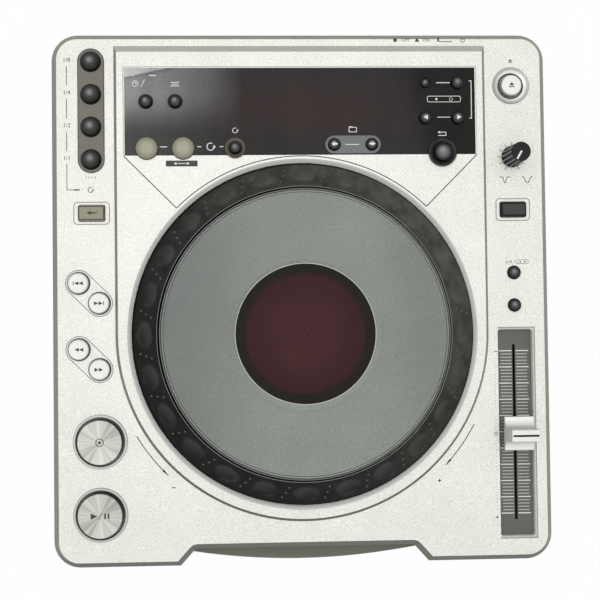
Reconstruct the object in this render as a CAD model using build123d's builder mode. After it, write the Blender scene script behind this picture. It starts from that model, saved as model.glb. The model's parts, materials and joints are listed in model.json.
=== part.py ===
from build123d import *

import os
from math import asin, cos, radians, sin, sqrt

# A tabletop disc player for DJs. +X is to the player's right, +Y to the rear and +Z up.
# The origin is at the middle of the overall box, on the table. All lengths are in mm.
#
# The deck, the sloping top surface, has its own frame: x to the right, y up the slope and
# height square to it. Height 0 is the surface of the two side wings.

os.makedirs("parts", exist_ok=True)

# ---------------------------------------------------------------- driving dimensions

# Overall; the plate's width and depth follow from the jog wheel, the window and these margins
wing_width = 38.3  # plate on either side of the raised block
jog_front_margin = 37.5  # plate ahead of the jog ring
deck_tilt = 4.0
front_edge_height = 74.7  # wing surface at the front edge, above the table
foot_height = 8.0
bezel_reach = 9.7  # nose of the slot bezel ahead of the plate's front edge
jack_reach = 10.1  # tips of the jacks behind the plate's rear edge

# Top cover
cover_wall = 2.5
skirt_drop = 14.0
rim_bevel = 3.6
plate_corner = 16.0
notch_depth = 10.2
notch_mouth = 152.0
notch_slant = 9.25  # run of the notch's slanting sides
notch_corner = 3.0

# Raised centre block and jog opening
block_side_margin = 9.7  # block beside the jog opening
block_rear_inset = 7.8
block_rise = 1.9
block_bevel = 1.85
block_rear_bevel = 4.1
panel_thickness = 3.1
ledge_width = 4.0
opening_gap = 1.5  # between the jog ring and its opening
opening_bevel = 2.3

# Display hood and window
window_side_margin = 6.7  # block beside the window
window_front_margin = 0.6  # window behind the hood's arc
window_depth = 53.6
window_inset = 21.9  # rear edge of the window ahead of the plate's rear edge
window_thickness = 1.2
hood_margin = 0.9
hood_thickness = 2.1
hood_arc_margin = 1.6  # between the opening's bevel and the hood
hood_ledge = 3.0
seam = 0.25
display_left_margin = 45.5  # from the window's left edge
display_right_margin = 39.5
display_front_margin = 14.6  # from the window's front edge
display_thickness = 5.0
display_inset = 4.0

# Jog wheel
ring_radius = 103.0
ring_rim_height = 6.4
ring_width = 15.3
ring_crest_height = 13.0
ring_skirt = 2.0
dimple_count = 24
dimple_length = 17.0
dimple_width = 10.5
dimple_depth = 1.0
ring_edge = 1.0
ring_seat = 3.0
platter_gap = 2.5  # between the platter and the ring's crest
platter_height = 16.5
platter_thickness = 3.0
platter_press = 0.6
lens_radius = 46.0
lens_recess = 0.8
lens_thickness = 1.2
lens_ledge = 3.0
platter_sleeve_end = 4.0
platter_rim = 2.5
platter_rim_end = 8.0
collar_margin = 5.0  # collar outside the lens
collar_wall = 3.0
hub_wall = 4.0
post_radius = 27.0
post_wall = 3.0
post_top = 8.0
display_plug = 3.0
jog_display_margin = 2.0  # display inside the lens
jog_display_thickness = 4.0
ring_band = 5.0  # ring outside the wheel's rim
encoder_teeth = 60
encoder_tooth_depth = 2.5
encoder_wall = 5.0
encoder_low = -11.0
wheel_lift = 0.3
wheel_web = 2.5
jog_base_depth = 16.0
jog_base_wall = 2.5

# Running gaps
shaft_gap = 0.05
slide_gap = 0.1
button_gap = 0.4
seat_gap = 0.15

# Buttons: a cap in its hole, held from below by a flange
flange_lip = 1.2
flange_thickness = 1.0
edge_break = 0.5

button_dish = 0.35
button_crown = 0.5
small_rise = 1.8
search_rise = 2.4
loop_rise = 2.6
point_rise = 1.8
point_crown = 0.9
delete_rise = 1.0

left_column_margin = 13.8  # column outward of the raised block
right_column_margin = 16.4

loop_first_inset = 17.6
loop_pitch = 19.95
loop_radius = 5.45
loop_count = 4
pod_width = 16.2
pod_margin = 8.2
pod_thickness = 1.3
pod_rise = 0.5

key_corner = 1.2
key_rise = 1.8

reverse_inset = 110.1
reverse_width = 15.6
reverse_depth = 9.6
jog_mode_inset = 109.6
jog_mode_width = 15.3
jog_mode_depth = 9.2

search_radius = 6.25
search_step_x = 12.4  # each pair of search buttons lies on a slanting line
search_step_y = 12.2
search_outset = 8.1  # outer button of a pair, outward of the left column
track_inset = 152.7
scan_inset = 192.8

transport_radius = 13.6
transport_rise = 3.4
transport_ring_bore = 15.1
transport_ring_radius = 16.5
ring_rise = 0.8
ring_wall = 0.8
play_inset = 32.3
cue_inset = 76.3

eject_inset = 32.7
eject_radius = 6.4
eject_ring_radius = 11.45
eject_ring_throat = 7.0
eject_ring_seat = 9.5
eject_rise = 1.6

knob_inset = 76.9
knob_radius = 5.7
knob_top_radius = 4.9
knob_height = 16.5
knob_shaft_radius = 3.0
knob_flutes = 16
knob_flute_depth = 0.5
knob_flute_radius = 0.8
knob_lift = 0.3
knob_foot = 2.5
knob_shaft_end = -8.5

range_inset = 148.5
range_radius = 3.9
lock_inset = 168.6
lock_radius = 3.8

# Tempo fader
fader_inset = 78.2  # middle of the fader, behind the plate's front edge
recess_width = 21.6
recess_length = 126.6
recess_depth = 3.0
recess_corner = 1.5
fader_travel = 50.0
fader_panel_thickness = 1.5
fader_panel_lip = 3.0
fader_slot_width = 1.7
fader_slot_end = 1.9  # beyond the stem at either end of its travel
stem_thickness = 1.0
stem_length = 4.0
fader_body_width = 13.0
fader_body_length = 126.0
fader_body_depth = 9.0
fader_floor = 2.0
cap_width = 17.6
cap_length = 20.0
cap_bar = 7.4
cap_height = 9.3
cap_skirt_height = 1.4
cap_sweep_radius = 8.0
cap_lift = 0.3
stem_reach = 6.0  # below the fader's body top

# Window buttons, measured from the window's left or right and front edges
small_radius = 3.7
mode_first_inset = 13.0
mode_pitch = 17.8
mode_row = 33.0
point_radius = 6.6
point_row = 4.3
point_first_inset = 13.4
point_pitch = 22.1
reloop_inset = 67.1
reloop_radius = 3.5
reloop_ring_radius = 6.25
reloop_ring_rise = 1.6
reloop_rise = 2.6
folder_first = 20.2
folder_pitch = 23.1
folder_row = 6.2
folder_radius = 3.6
folder_pod_margin = 5.45
folder_pod_thickness = 0.9
folder_pod_rise = 0.4
delete_radius = 2.7
memory_rear_inset = 9.6  # from the window's rear edge
call_row = 22.4
memory_inset = 10.8
memory_pitch = 20.0
return_inset = 20.7
return_row = 1.0
return_radius = 5.2
return_ring_radius = 8.6
return_ring_rise = 2.4
return_rise = 3.4

# Bottom case
case_inset = 1.2
case_wall = 2.5
case_bottom_chamfer = 3.0
post_inset_x = 11.0
post_inset_y = 10.5
post_front_inset = 41.5  # front posts inward of the plate's sides
post_side_x = 7.5
post_side_y = 31.0
post_outer_radius = 5.0
post_bore = 1.9
post_counterbore = 3.6
counterbore_depth = 6.0
boss_radius = 4.0
vent_slots = 9
vent_width = 3.0
vent_length = 34.0
vent_pitch = 8.0
foot_radius = 12.5
foot_inset_x = 32.0
foot_inset_y = 30.0
foot_dimple = 3.0
vent_side_inset = 63.3
vent_inset = 70.0

# Case screws
screw_radius = 1.5
screw_head_radius = 3.2
screw_head_height = 2.4
screw_grip = 7.0

# Disc slot and drive
slot_side_gap = 3.0  # slot beside the disc
slot_gap = 5.2
slot_height_above_table = 43.3
slot_flare = 2.0
bezel_lip = 9.0  # bezel beside its tongue
bezel_arc_radius = 435.0
bezel_tongue_margin = 16.0  # tongue beside the slot
bezel_tongue = 11.0
bezel_low = 30.0
bezel_nose_height = 7.5
disc_radius = 60.0
spindle_margin = 26.0  # loaded disc's edge behind the case's front face
chassis_margin = 5.0  # chassis beside the slot
chassis_sheet = 1.2
chassis_rise = 26.0
roller_radius = 5.0
roller_shaft_radius = 2.0
turntable_radius = 14.5
turntable_sink = 2.3  # turntable below the middle of the slot
turntable_thickness = 1.6
turntable_hub = 0.9
cone_radius = 7.4
cone_rise = 2.4
motor_radius = 12.0
rod_radius = 1.5
rod_spacing = 40.0
sled_travel = 34.0
sled_start = 24.0
sled_width = 50.0
sled_length = 22.0
clamper_radius = 13.0
clamp_arm_width = 26.0
clamp_arm_sheet = 1.6
chassis_inset = 13.0
chassis_length = 148.0
roller_clearance = 1.5
disc_clearance = 0.2
guide_length = 22.0
guide_rise = 4.2
bridge_length = 11.0
hinge_inset = 6.0
hinge_rise = 8.2
hinge_pin_radius = 1.5
barrel_radius = 2.6
ear_x = 24.0
rod_height = 33.0
rod_overrun = 3.0
spindle_radius = 1.2
sled_half_height = 3.5
lens_turret_radius = 4.0
roller_waist = 0.4
clamper_neck_radius = 4.9
clamper_lift = 0.8

# Rear
rear_margin_x = 18.0
rear_panel_sheet = 1.2
rear_low = 20.0
rear_high = 74.0
jack_height = 46.0
jack_barrel_radius = 4.15
jack_bore = 1.6
jack_flange_radius = 6.2
jack_flange = 3.0
jack_body_depth = 12.0
control_jack_depth = 13.0
digital_out_inset = 33.3  # from the case's left side
control_jack_step = 26.0  # from the digital output
audio_out_step = 26.0  # from the control jack
audio_out_pitch = 20.0
control_jack_bore = 1.8
power_inset = 58.3  # from the case's right side
power_width = 11.0
power_height = 9.0
power_reach = 6.5
inlet_inset = 32.3
inlet_width = 17.0
inlet_height = 9.0
inlet_depth = 13.0
inlet_wall = 2.5
inlet_body_width = 22.0
inlet_body_height = 14.0
inlet_flange = 2.5
inlet_pin_radius = 1.15
inlet_pin_pitch = 8.6

# Circuit boards
board_thickness = 1.6
board_drop = 12.0
main_board_height = 18.0
side_board_width = 24.5
side_board_inset = 17.0
board_boss_radius = 2.2
board_boss_shift = 13.0
main_board_width = 150.0
main_board_depth = 100.0
supply_board_width = 90.0
board_gap = 12.0  # board edges inside the case's outer face
board_rear_gap = 14.0
board_post_inset = 6.0
transformer_width = 44.0
transformer_depth = 38.0
transformer_height = 30.0
capacitor_radius = 9.0
capacitor_height = 22.0
heat_sink_width = 50.0
heat_sink_depth = 12.0
heat_sink_height = 20.0
pot_width = 13.0

# ---------------------------------------------------------------- derived sizes, frames and heights

opening_radius = ring_radius + opening_gap
hood_arc_radius = opening_radius + opening_bevel + hood_arc_margin
ring_crest_radius = ring_radius - ring_width
platter_radius = ring_crest_radius - platter_gap
encoder_radius = ring_radius - ring_band
collar_radius = lens_radius + collar_margin
jog_display_radius = lens_radius - jog_display_margin
hub_radius = post_radius + hub_wall

block_half = opening_radius + block_side_margin
plate_width = 2 * (block_half + wing_width)
jog_inset = jog_front_margin + ring_radius
plate_depth = jog_inset + hood_arc_radius + window_front_margin + window_depth + window_inset
window_width = 2 * (block_half - window_side_margin)
notch_floor = notch_mouth - 2 * notch_slant

deck_y = (bezel_reach - jack_reach) / 2
deck_z = front_edge_height + plate_depth / 2 * sin(radians(deck_tilt))
deck = Plane(
    origin=(0, deck_y, deck_z),
    x_dir=(1, 0, 0),
    z_dir=(0, -sin(radians(deck_tilt)), cos(radians(deck_tilt))),
)

front = -plate_depth / 2
rear = plate_depth / 2
left_x = -block_half - left_column_margin
right_x = block_half + right_column_margin
jog_y = front + jog_inset

block_rear = rear - block_rear_inset
block_top = block_rise
block_under = block_top - panel_thickness
wing_under = -cover_wall

window_rear = rear - window_inset
window_front = window_rear - window_depth
window_left = -window_width / 2
window_right = window_width / 2
window_under = block_top - window_thickness
hood_under = block_top - hood_thickness

case_depth = plate_depth * cos(radians(deck_tilt)) - 2 * case_inset
case_width = plate_width - 2 * case_inset
case_y = deck_y + skirt_drop * sin(radians(deck_tilt))
case_front = case_y - case_depth / 2
case_rear = case_y + case_depth / 2
case_floor = foot_height + case_wall
rear_panel_y = case_rear - case_wall

nose_y = deck_y + front * cos(radians(deck_tilt)) - bezel_reach
tip_y = deck_y + rear * cos(radians(deck_tilt)) + jack_reach
slot_z = slot_height_above_table

fader_slot_length = 2 * (fader_travel + fader_slot_end) + stem_length
board_top = -board_drop + board_thickness
loop_middle_y = rear - loop_first_inset - loop_pitch * (loop_count - 1) / 2
loop_middle = (left_x, loop_middle_y)
pod_length = loop_pitch * (loop_count - 1) + 2 * pod_margin
window_middle = (window_rear + window_front) / 2
display_width = window_width - display_left_margin - display_right_margin
display_shift = (display_left_margin - display_right_margin) / 2
display_depth = window_depth - display_inset - display_front_margin
display_y = window_rear - display_inset - display_depth / 2
folder_middle = (folder_first + folder_pitch / 2, window_front + folder_row)
folder_pod_length = folder_pitch + 2 * folder_pod_margin
folder_pod_width = 2 * folder_pod_margin
rear_window_width = case_width - 2 * rear_margin_x
vent_x = case_width / 2 - vent_side_inset
vent_y = case_rear - vent_inset

slot_width = 2 * (disc_radius + slot_side_gap)
chassis_half_width = slot_width / 2 + chassis_margin
bezel_tongue_half_width = slot_width / 2 + bezel_tongue_margin
bezel_half_width = bezel_tongue_half_width + bezel_lip
spindle_inset = disc_radius + spindle_margin

digital_out_x = -case_width / 2 + digital_out_inset
control_jack_x = digital_out_x + control_jack_step
audio_right_x = control_jack_x + audio_out_step
audio_left_x = audio_right_x + audio_out_pitch
jack_positions = (audio_right_x, audio_left_x, digital_out_x)
power_x = case_width / 2 - power_inset
inlet_x = case_width / 2 - inlet_inset


def height_over(x, y, height=0.0):
    """World z of the plane at this deck height, over world point (x, y)."""
    lean = radians(deck_tilt)
    return deck_z + (height + (y - deck_y) * sin(lean)) / cos(lean)


def deck_at(x, y, height=0.0):
    """Plane parallel to the deck with its origin over deck point (x, y)."""
    return Plane(deck.from_local_coords(Vector(x, y, height)), x_dir=deck.x_dir, z_dir=deck.z_dir)


def section_at(x, y):
    """Upright section through deck point (x, y): local x is radius, local y is deck height."""
    return Plane(deck.from_local_coords(Vector(x, y, 0)), x_dir=deck.x_dir, z_dir=-deck.y_dir)


def side_section_at(x, y):
    """Upright section along the slope: local x runs to the rear, local y is deck height."""
    return Plane(deck.from_local_coords(Vector(x, y, 0)), x_dir=deck.y_dir, z_dir=deck.x_dir)


def normal_at(x, y):
    """Axis square to the deck through deck point (x, y)."""
    return Axis(deck.from_local_coords(Vector(x, y, 0)), deck.z_dir)


def turned(x, y, *points, mode=Mode.ADD):
    """Revolves an outline of (radius, height) points square to the deck at (x, y)."""
    with BuildSketch(section_at(x, y)) as outline:
        with BuildLine():
            Polyline(*points, close=True)
        make_face()
    revolve(outline.sketch, axis=normal_at(x, y), mode=mode)


def turned_on(section, *points, mode=Mode.ADD):
    """Revolves an outline of (radius, distance) points about the section plane's own y axis."""
    with BuildSketch(section) as outline:
        with BuildLine():
            Polyline(*points, close=True)
        make_face()
    revolve(outline.sketch, axis=Axis(section.origin, section.y_dir), mode=mode)


def write_piece(piece, name):
    """Labels a finished piece and writes its file."""
    piece.label = name
    export_step(piece, f"parts/{name}.step")


# ---------------------------------------------------------------- places of the controls

loop_places = [(left_x, rear - loop_first_inset - i * loop_pitch) for i in range(loop_count)]
reverse_place = (left_x, rear - reverse_inset)
track_back_place = (left_x - search_outset, rear - track_inset)
track_forward_place = (track_back_place[0] + search_step_x, track_back_place[1] - search_step_y)
scan_back_place = (left_x - search_outset, rear - scan_inset)
scan_forward_place = (scan_back_place[0] + search_step_x, scan_back_place[1] - search_step_y)
play_place = (left_x + search_step_x - search_outset, front + play_inset)
cue_place = (play_place[0], front + cue_inset)
eject_place = (right_x, rear - eject_inset)
knob_place = (right_x, rear - knob_inset)
jog_mode_place = (right_x, rear - jog_mode_inset)
range_place = (right_x, rear - range_inset)
lock_place = (right_x, rear - lock_inset)
fader_place = (right_x, front + fader_inset)

time_mode_place = (window_left + mode_first_inset, window_front + mode_row)
text_mode_place = (time_mode_place[0] + mode_pitch, time_mode_place[1])
in_place = (window_left + point_first_inset, window_front + point_row)
out_place = (in_place[0] + point_pitch, in_place[1])
reloop_place = (window_left + reloop_inset, window_front + point_row)
folder_back_place = (folder_first, window_front + folder_row)
folder_forward_place = (folder_first + folder_pitch, folder_back_place[1])
memory_place = (window_right - memory_inset, window_rear - memory_rear_inset)
delete_place = (memory_place[0] - memory_pitch, memory_place[1])
call_forward_place = (memory_place[0], window_front + call_row)
call_back_place = (delete_place[0], call_forward_place[1])
return_place = (window_right - return_inset, window_front + return_row)

# name: (place, radius of the cap, height of its rim above its panel, rise of its middle)
wing_buttons = {
    "track_back_button": (track_back_place, search_radius, search_rise, -button_dish),
    "track_forward_button": (track_forward_place, search_radius, search_rise, -button_dish),
    "search_back_button": (scan_back_place, search_radius, search_rise, -button_dish),
    "search_forward_button": (scan_forward_place, search_radius, search_rise, -button_dish),
    "tempo_range_button": (range_place, range_radius, small_rise, button_crown),
    "tempo_lock_button": (lock_place, lock_radius, small_rise, button_crown),
}
for number, place in enumerate(loop_places, start=1):
    wing_buttons[f"loop_button_{number}"] = (place, loop_radius, loop_rise, -button_dish)

window_buttons = {
    "time_mode_button": (time_mode_place, small_radius, small_rise, button_crown),
    "text_mode_button": (text_mode_place, small_radius, small_rise, button_crown),
    "loop_in_button": (in_place, point_radius, point_rise, point_crown),
    "loop_out_button": (out_place, point_radius, point_rise, point_crown),
    "folder_back_button": (folder_back_place, folder_radius, small_rise, button_crown),
    "folder_forward_button": (folder_forward_place, folder_radius, small_rise, button_crown),
    "delete_button": (delete_place, delete_radius, delete_rise, button_crown),
    "memory_button": (memory_place, small_radius, small_rise, button_crown),
    "call_back_button": (call_back_place, small_radius, small_rise, button_crown),
    "call_forward_button": (call_forward_place, small_radius, small_rise, button_crown),
}

# Screw posts, as world points; the cover's bosses stand on the case's posts
post_points = [
    (-plate_width / 2 + post_front_inset, case_front + post_inset_y),
    (plate_width / 2 - post_front_inset, case_front + post_inset_y),
    (-plate_width / 2 + post_inset_x, case_rear - post_inset_y),
    (plate_width / 2 - post_inset_x, case_rear - post_inset_y),
    (-plate_width / 2 + post_side_x, post_side_y),
    (plate_width / 2 - post_side_x, post_side_y),
]

# bosses that carry the side boards and the window board, as deck points
side_board_bosses = [
    (left_x + board_boss_shift, rear - search_radius - loop_first_inset),
    (left_x + board_boss_shift, (cue_place[1] + play_place[1]) / 2),
    (right_x - board_boss_shift, rear - search_radius - loop_first_inset),
    (right_x - board_boss_shift, lock_place[1] + search_radius),
]
window_board_x = window_width / 2 + hood_margin - hood_ledge - board_boss_radius - button_gap / 2
window_boss_y = window_rear + hood_margin - hood_ledge - board_boss_radius - button_gap / 2
window_board_bosses = [
    (side * window_board_x, y)
    for side in (-1, 1)
    for y in (window_boss_y, (memory_place[1] + call_forward_place[1]) / 2)
]

foot_points = [
    (side * (case_width / 2 - foot_inset_x), case_y + end * (case_depth / 2 - foot_inset_y))
    for side in (-1, 1)
    for end in (-1, 1)
]

# the drive, in world coordinates
spindle_y = case_front + spindle_inset
chassis_front = case_front + chassis_inset
chassis_rear = chassis_front + chassis_length
drive_posts = [
    (side * (chassis_half_width - boss_radius - chassis_sheet), y)
    for side in (-1, 1)
    for y in (chassis_front + 2 * boss_radius, chassis_rear - 2 * boss_radius)
]

# main board at the left rear and supply board at the right rear, in world coordinates
board_rear = case_rear - case_wall - board_rear_gap
main_board_x = -case_width / 2 + board_gap + main_board_width / 2
supply_board_x = case_width / 2 - board_gap - supply_board_width / 2
board_y = board_rear - main_board_depth / 2
board_posts = [
    (x + side * (width / 2 - board_post_inset), board_y + end * (main_board_depth / 2 - board_post_inset))
    for x, width in ((main_board_x, main_board_width), (supply_board_x, supply_board_width))
    for side in (-1, 1)
    for end in (-1, 1)
]

# ---------------------------------------------------------------- outlines used more than once


def plate_outline(inset):
    """The cover's outline in the deck frame, set in from its edge, with the notch in front."""
    half = plate_width / 2 - inset
    mouth = notch_mouth / 2 + inset * (sqrt(2) - 1)
    floor = notch_floor / 2 + inset * (sqrt(2) - 1)
    low = front + inset
    floor_y = front + notch_depth + inset
    with BuildSketch() as outline:
        with BuildLine():
            Polyline(
                (-half, low),
                (-mouth, low),
                (-floor, floor_y),
                (floor, floor_y),
                (mouth, low),
                (half, low),
                (half, rear - inset),
                (-half, rear - inset),
                close=True,
            )
        make_face()
        outer = outline.vertices().filter_by(lambda v: abs(abs(v.X) - half) < 0.01)
        fillet(outer, plate_corner - inset)
        inner = outline.vertices().filter_by(lambda v: abs(abs(v.X) - floor) < 0.01)
        fillet(inner, notch_corner + inset)
    return outline.sketch


def block_outline(inset):
    """The raised block's outline: straight sides and rear, and a front end round the jog."""
    half = block_half - inset
    with BuildSketch() as outline:
        with BuildLine():
            Polyline((half, jog_y), (half, block_rear - inset), (-half, block_rear - inset), (-half, jog_y))
            ThreePointArc((-half, jog_y), (0, jog_y - half), (half, jog_y))
        make_face()
    return outline.sketch


def hood_outline(inset):
    """The hood's outline: window edges, slanting corners and an arc round the jog opening."""
    half = window_width / 2 + hood_margin - inset
    top = window_rear + hood_margin - inset
    arc = hood_arc_radius + inset
    # the slanting edges fall at 45 degrees from the window's front corners to the arc
    offset_45 = window_front - window_width / 2 - hood_margin - jog_y + inset * (sqrt(2) - 1)
    low_x = (-offset_45 + sqrt(2 * arc**2 - offset_45**2)) / 2
    low_y = jog_y + sqrt(arc**2 - low_x**2)
    corner_y = jog_y + offset_45 + half
    with BuildSketch() as outline:
        with BuildLine():
            Polyline(
                (low_x, low_y),
                (half, corner_y),
                (half, top),
                (-half, top),
                (-half, corner_y),
                (-low_x, low_y),
            )
            ThreePointArc((-low_x, low_y), (0, jog_y + arc), (low_x, low_y))
        make_face()
    return outline.sketch


def window_holes():
    """Holes through the window and the hood for the buttons and the rings' tubes."""
    with BuildSketch() as holes:
        for place, radius, rise, crown in window_buttons.values():
            with Locations(place):
                Circle(radius + button_gap)
        with Locations(reloop_place):
            Circle(reloop_radius + button_gap + ring_wall + shaft_gap)
        with Locations(return_place):
            Circle(return_radius + button_gap + ring_wall + shaft_gap)
    return holes.sketch


def case_outline(inset):
    """The bottom case's outline in plan, set in from its outer face."""
    with BuildSketch() as outline:
        with Locations((0, case_y)):
            corner = plate_corner - case_inset - inset
            RectangleRounded(case_width - 2 * inset, case_depth - 2 * inset, corner)
    return outline.sketch


def on_deck(sketch, height):
    """Lifts a flat outline to the deck at this height."""
    return deck.offset(height) * sketch


# ---------------------------------------------------------------- casing

# upright bosses between the skirt's lower edge and the plate, for the case screws
with BuildPart() as cover_bosses:
    with BuildSketch(Plane.XY.offset(foot_height)):
        with Locations(*post_points):
            Circle(boss_radius)
    extrude(amount=2 * deck_z)
    split(bisect_by=deck.offset(-skirt_drop), keep=Keep.TOP)
    split(bisect_by=deck.offset(wing_under / 2), keep=Keep.BOTTOM)
    for x, y in post_points:
        pilot_top = height_over(x, y, -skirt_drop) + screw_grip + edge_break
        with BuildSketch(Plane.XY.offset(foot_height)):
            with Locations((x, y)):
                Circle(screw_radius + shaft_gap)
        extrude(amount=pilot_top - foot_height, mode=Mode.SUBTRACT)

# space under the plate, its top edge following the bevel at one wall's distance
with BuildPart() as cover_hollow:
    extrude(on_deck(plate_outline(cover_wall), -skirt_drop), amount=skirt_drop - cover_wall)
    hollow_bevel = rim_bevel - cover_wall * (2 - sqrt(2))
    chamfer(cover_hollow.faces().sort_by(Axis(deck.origin, deck.z_dir))[-1].edges(), hollow_bevel)

with BuildPart() as top_cover:
    extrude(on_deck(plate_outline(0), -skirt_drop), amount=skirt_drop)
    chamfer(top_cover.faces().sort_by(Axis(deck.origin, deck.z_dir))[-1].edges(), rim_bevel)
    add(cover_hollow.part, mode=Mode.SUBTRACT)
    add(cover_bosses.part)
    # frame under the fader recess and bosses for the side boards
    with BuildSketch(deck_at(*fader_place, -recess_depth)):
        Rectangle(recess_width + 2 * fader_panel_lip, recess_length + 2 * fader_panel_lip)
    extrude(amount=recess_depth + wing_under)
    with BuildSketch(deck.offset(board_top)):
        with Locations(*side_board_bosses):
            Circle(board_boss_radius)
    extrude(amount=wing_under - board_top)
    # opening for the raised block, with the ledge that carries it
    extrude(on_deck(block_outline(ledge_width), wing_under), amount=cover_wall, mode=Mode.SUBTRACT)
    extrude(on_deck(block_outline(0), block_under), amount=-block_under, mode=Mode.SUBTRACT)
    # holes for the controls on the wings
    with BuildSketch(deck.offset(-recess_depth)):
        for place, radius, rise, crown in wing_buttons.values():
            with Locations(place):
                Circle(radius + button_gap)
        with Locations(cue_place, play_place):
            Circle(transport_ring_bore + ring_wall + shaft_gap)
        with Locations(eject_place):
            Circle(eject_ring_seat + shaft_gap)
        with Locations(knob_place):
            Circle(knob_shaft_radius + shaft_gap)
        with Locations(reverse_place):
            RectangleRounded(reverse_width + 2 * button_gap, reverse_depth + 2 * button_gap, key_corner)
        with Locations(jog_mode_place):
            RectangleRounded(jog_mode_width + 2 * button_gap, jog_mode_depth + 2 * button_gap, key_corner)
        with Locations(fader_place):
            RectangleRounded(recess_width, recess_length, recess_corner)
    extrude(amount=recess_depth, mode=Mode.SUBTRACT)
    # shallow bed of the loop button inlay
    with BuildSketch(deck_at(*loop_middle, pod_rise - pod_thickness)):
        SlotOverall(pod_length + 2 * shaft_gap, pod_width + 2 * shaft_gap, rotation=90)
    extrude(amount=pod_thickness - pod_rise, mode=Mode.SUBTRACT)
write_piece(top_cover.part, "top_cover")

with BuildPart() as centre_panel:
    extrude(on_deck(block_outline(shaft_gap), block_under), amount=panel_thickness)
    chamfer(centre_panel.faces().sort_by(Axis(deck.origin, deck.z_dir))[-1].edges(), block_bevel)
    # the rear bevel runs further up the slope than the side bevels
    rear_bevel_foot = deck.from_local_coords(Vector(0, block_rear - shaft_gap, block_top - block_bevel))
    rear_bevel_normal = deck.y_dir * block_bevel + deck.z_dir * block_rear_bevel
    split(bisect_by=Plane(rear_bevel_foot, x_dir=deck.x_dir, z_dir=rear_bevel_normal), keep=Keep.BOTTOM)
    # bed of the hood, the opening inside it and the bevelled jog opening
    extrude(on_deck(hood_outline(0), hood_under), amount=hood_thickness, mode=Mode.SUBTRACT)
    extrude(on_deck(hood_outline(hood_ledge), block_under), amount=panel_thickness, mode=Mode.SUBTRACT)
    turned(
        0,
        jog_y,
        (0, block_under),
        (opening_radius, block_under),
        (opening_radius, block_top - opening_bevel),
        (opening_radius + opening_bevel, block_top),
        (0, block_top),
        mode=Mode.SUBTRACT,
    )
write_piece(centre_panel.part, "centre_panel")

with BuildPart() as display_hood:
    extrude(on_deck(hood_outline(seam), hood_under), amount=hood_thickness)
    with BuildSketch(deck.offset(board_top)):
        with Locations(*window_board_bosses):
            Circle(board_boss_radius)
    extrude(amount=hood_under - board_top)
    # bed of the window and the opening in front of the display
    with BuildSketch(deck_at(0, window_middle, window_under)):
        Rectangle(window_width, window_depth)
    extrude(amount=window_thickness, mode=Mode.SUBTRACT)
    with BuildSketch(deck_at(display_shift, display_y, hood_under)):
        Rectangle(display_width - 2 * hood_ledge, display_depth - 2 * hood_ledge)
    extrude(amount=hood_thickness, mode=Mode.SUBTRACT)
    extrude(on_deck(window_holes(), hood_under), amount=hood_thickness, mode=Mode.SUBTRACT)
write_piece(display_hood.part, "display_hood")

with BuildPart() as display_window:
    with BuildSketch(deck_at(0, window_middle, window_under)):
        Rectangle(window_width - 2 * slide_gap, window_depth - 2 * slide_gap)
    extrude(amount=window_thickness)
    extrude(on_deck(window_holes(), window_under), amount=window_thickness, mode=Mode.SUBTRACT)
    with BuildSketch(deck_at(*folder_middle, block_top + folder_pod_rise - folder_pod_thickness)):
        SlotOverall(folder_pod_length + 2 * shaft_gap, folder_pod_width + 2 * shaft_gap)
    extrude(amount=folder_pod_thickness, mode=Mode.SUBTRACT)
write_piece(display_window.part, "display_window")

with BuildPart() as display_module:
    with BuildSketch(deck_at(display_shift, display_y, hood_under - display_thickness)):
        Rectangle(display_width, display_depth)
    extrude(amount=display_thickness)
write_piece(display_module.part, "display_module")

with BuildPart() as loop_pod:
    with BuildSketch(deck_at(*loop_middle, pod_rise - pod_thickness)):
        SlotOverall(pod_length, pod_width, rotation=90)
        with Locations(*[(0, (i - (loop_count - 1) / 2) * loop_pitch) for i in range(loop_count)]):
            Circle(loop_radius + button_gap, mode=Mode.SUBTRACT)
    extrude(amount=pod_thickness)
write_piece(loop_pod.part, "loop_pod")

with BuildPart() as folder_pod:
    with BuildSketch(deck_at(*folder_middle, block_top + folder_pod_rise - folder_pod_thickness)):
        SlotOverall(folder_pod_length, folder_pod_width)
        with Locations((-folder_pitch / 2, 0), (folder_pitch / 2, 0)):
            Circle(folder_radius + button_gap, mode=Mode.SUBTRACT)
    extrude(amount=folder_pod_thickness)
write_piece(folder_pod.part, "folder_pod")

# four trim rings pressed into their panels: cue, play, eject and quick return, and one for reloop
with BuildPart() as button_rings:
    ring_tube = transport_ring_bore + ring_wall
    for x, y in (cue_place, play_place):
        turned(
            x,
            y,
            (transport_ring_bore, wing_under),
            (ring_tube, wing_under),
            (ring_tube, 0),
            (transport_ring_radius, 0),
            (transport_ring_radius, ring_rise / 2),
            (transport_ring_radius - ring_rise / 2, ring_rise),
            (transport_ring_bore, ring_rise),
        )
    turned(
        *eject_place,
        (eject_ring_throat, wing_under),
        (eject_ring_seat, wing_under),
        (eject_ring_seat, 0),
        (eject_ring_radius, 0),
        (eject_ring_radius, ring_rise / 2),
        (eject_ring_radius - ring_rise / 2, ring_rise),
        (eject_ring_throat, wing_under / 2),
    )
    for place, bore, radius, rise in (
        (reloop_place, reloop_radius + button_gap, reloop_ring_radius, reloop_ring_rise),
        (return_place, return_radius + button_gap, return_ring_radius, return_ring_rise),
    ):
        turned(
            *place,
            (bore, hood_under),
            (bore + ring_wall, hood_under),
            (bore + ring_wall, block_top),
            (radius, block_top),
            (radius, block_top + rise * 2 / 3),
            (radius - rise / 3, block_top + rise),
            (bore, block_top + rise / 3),
        )
write_piece(button_rings.part, "button_rings")

# ---------------------------------------------------------------- buttons on the deck


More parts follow.
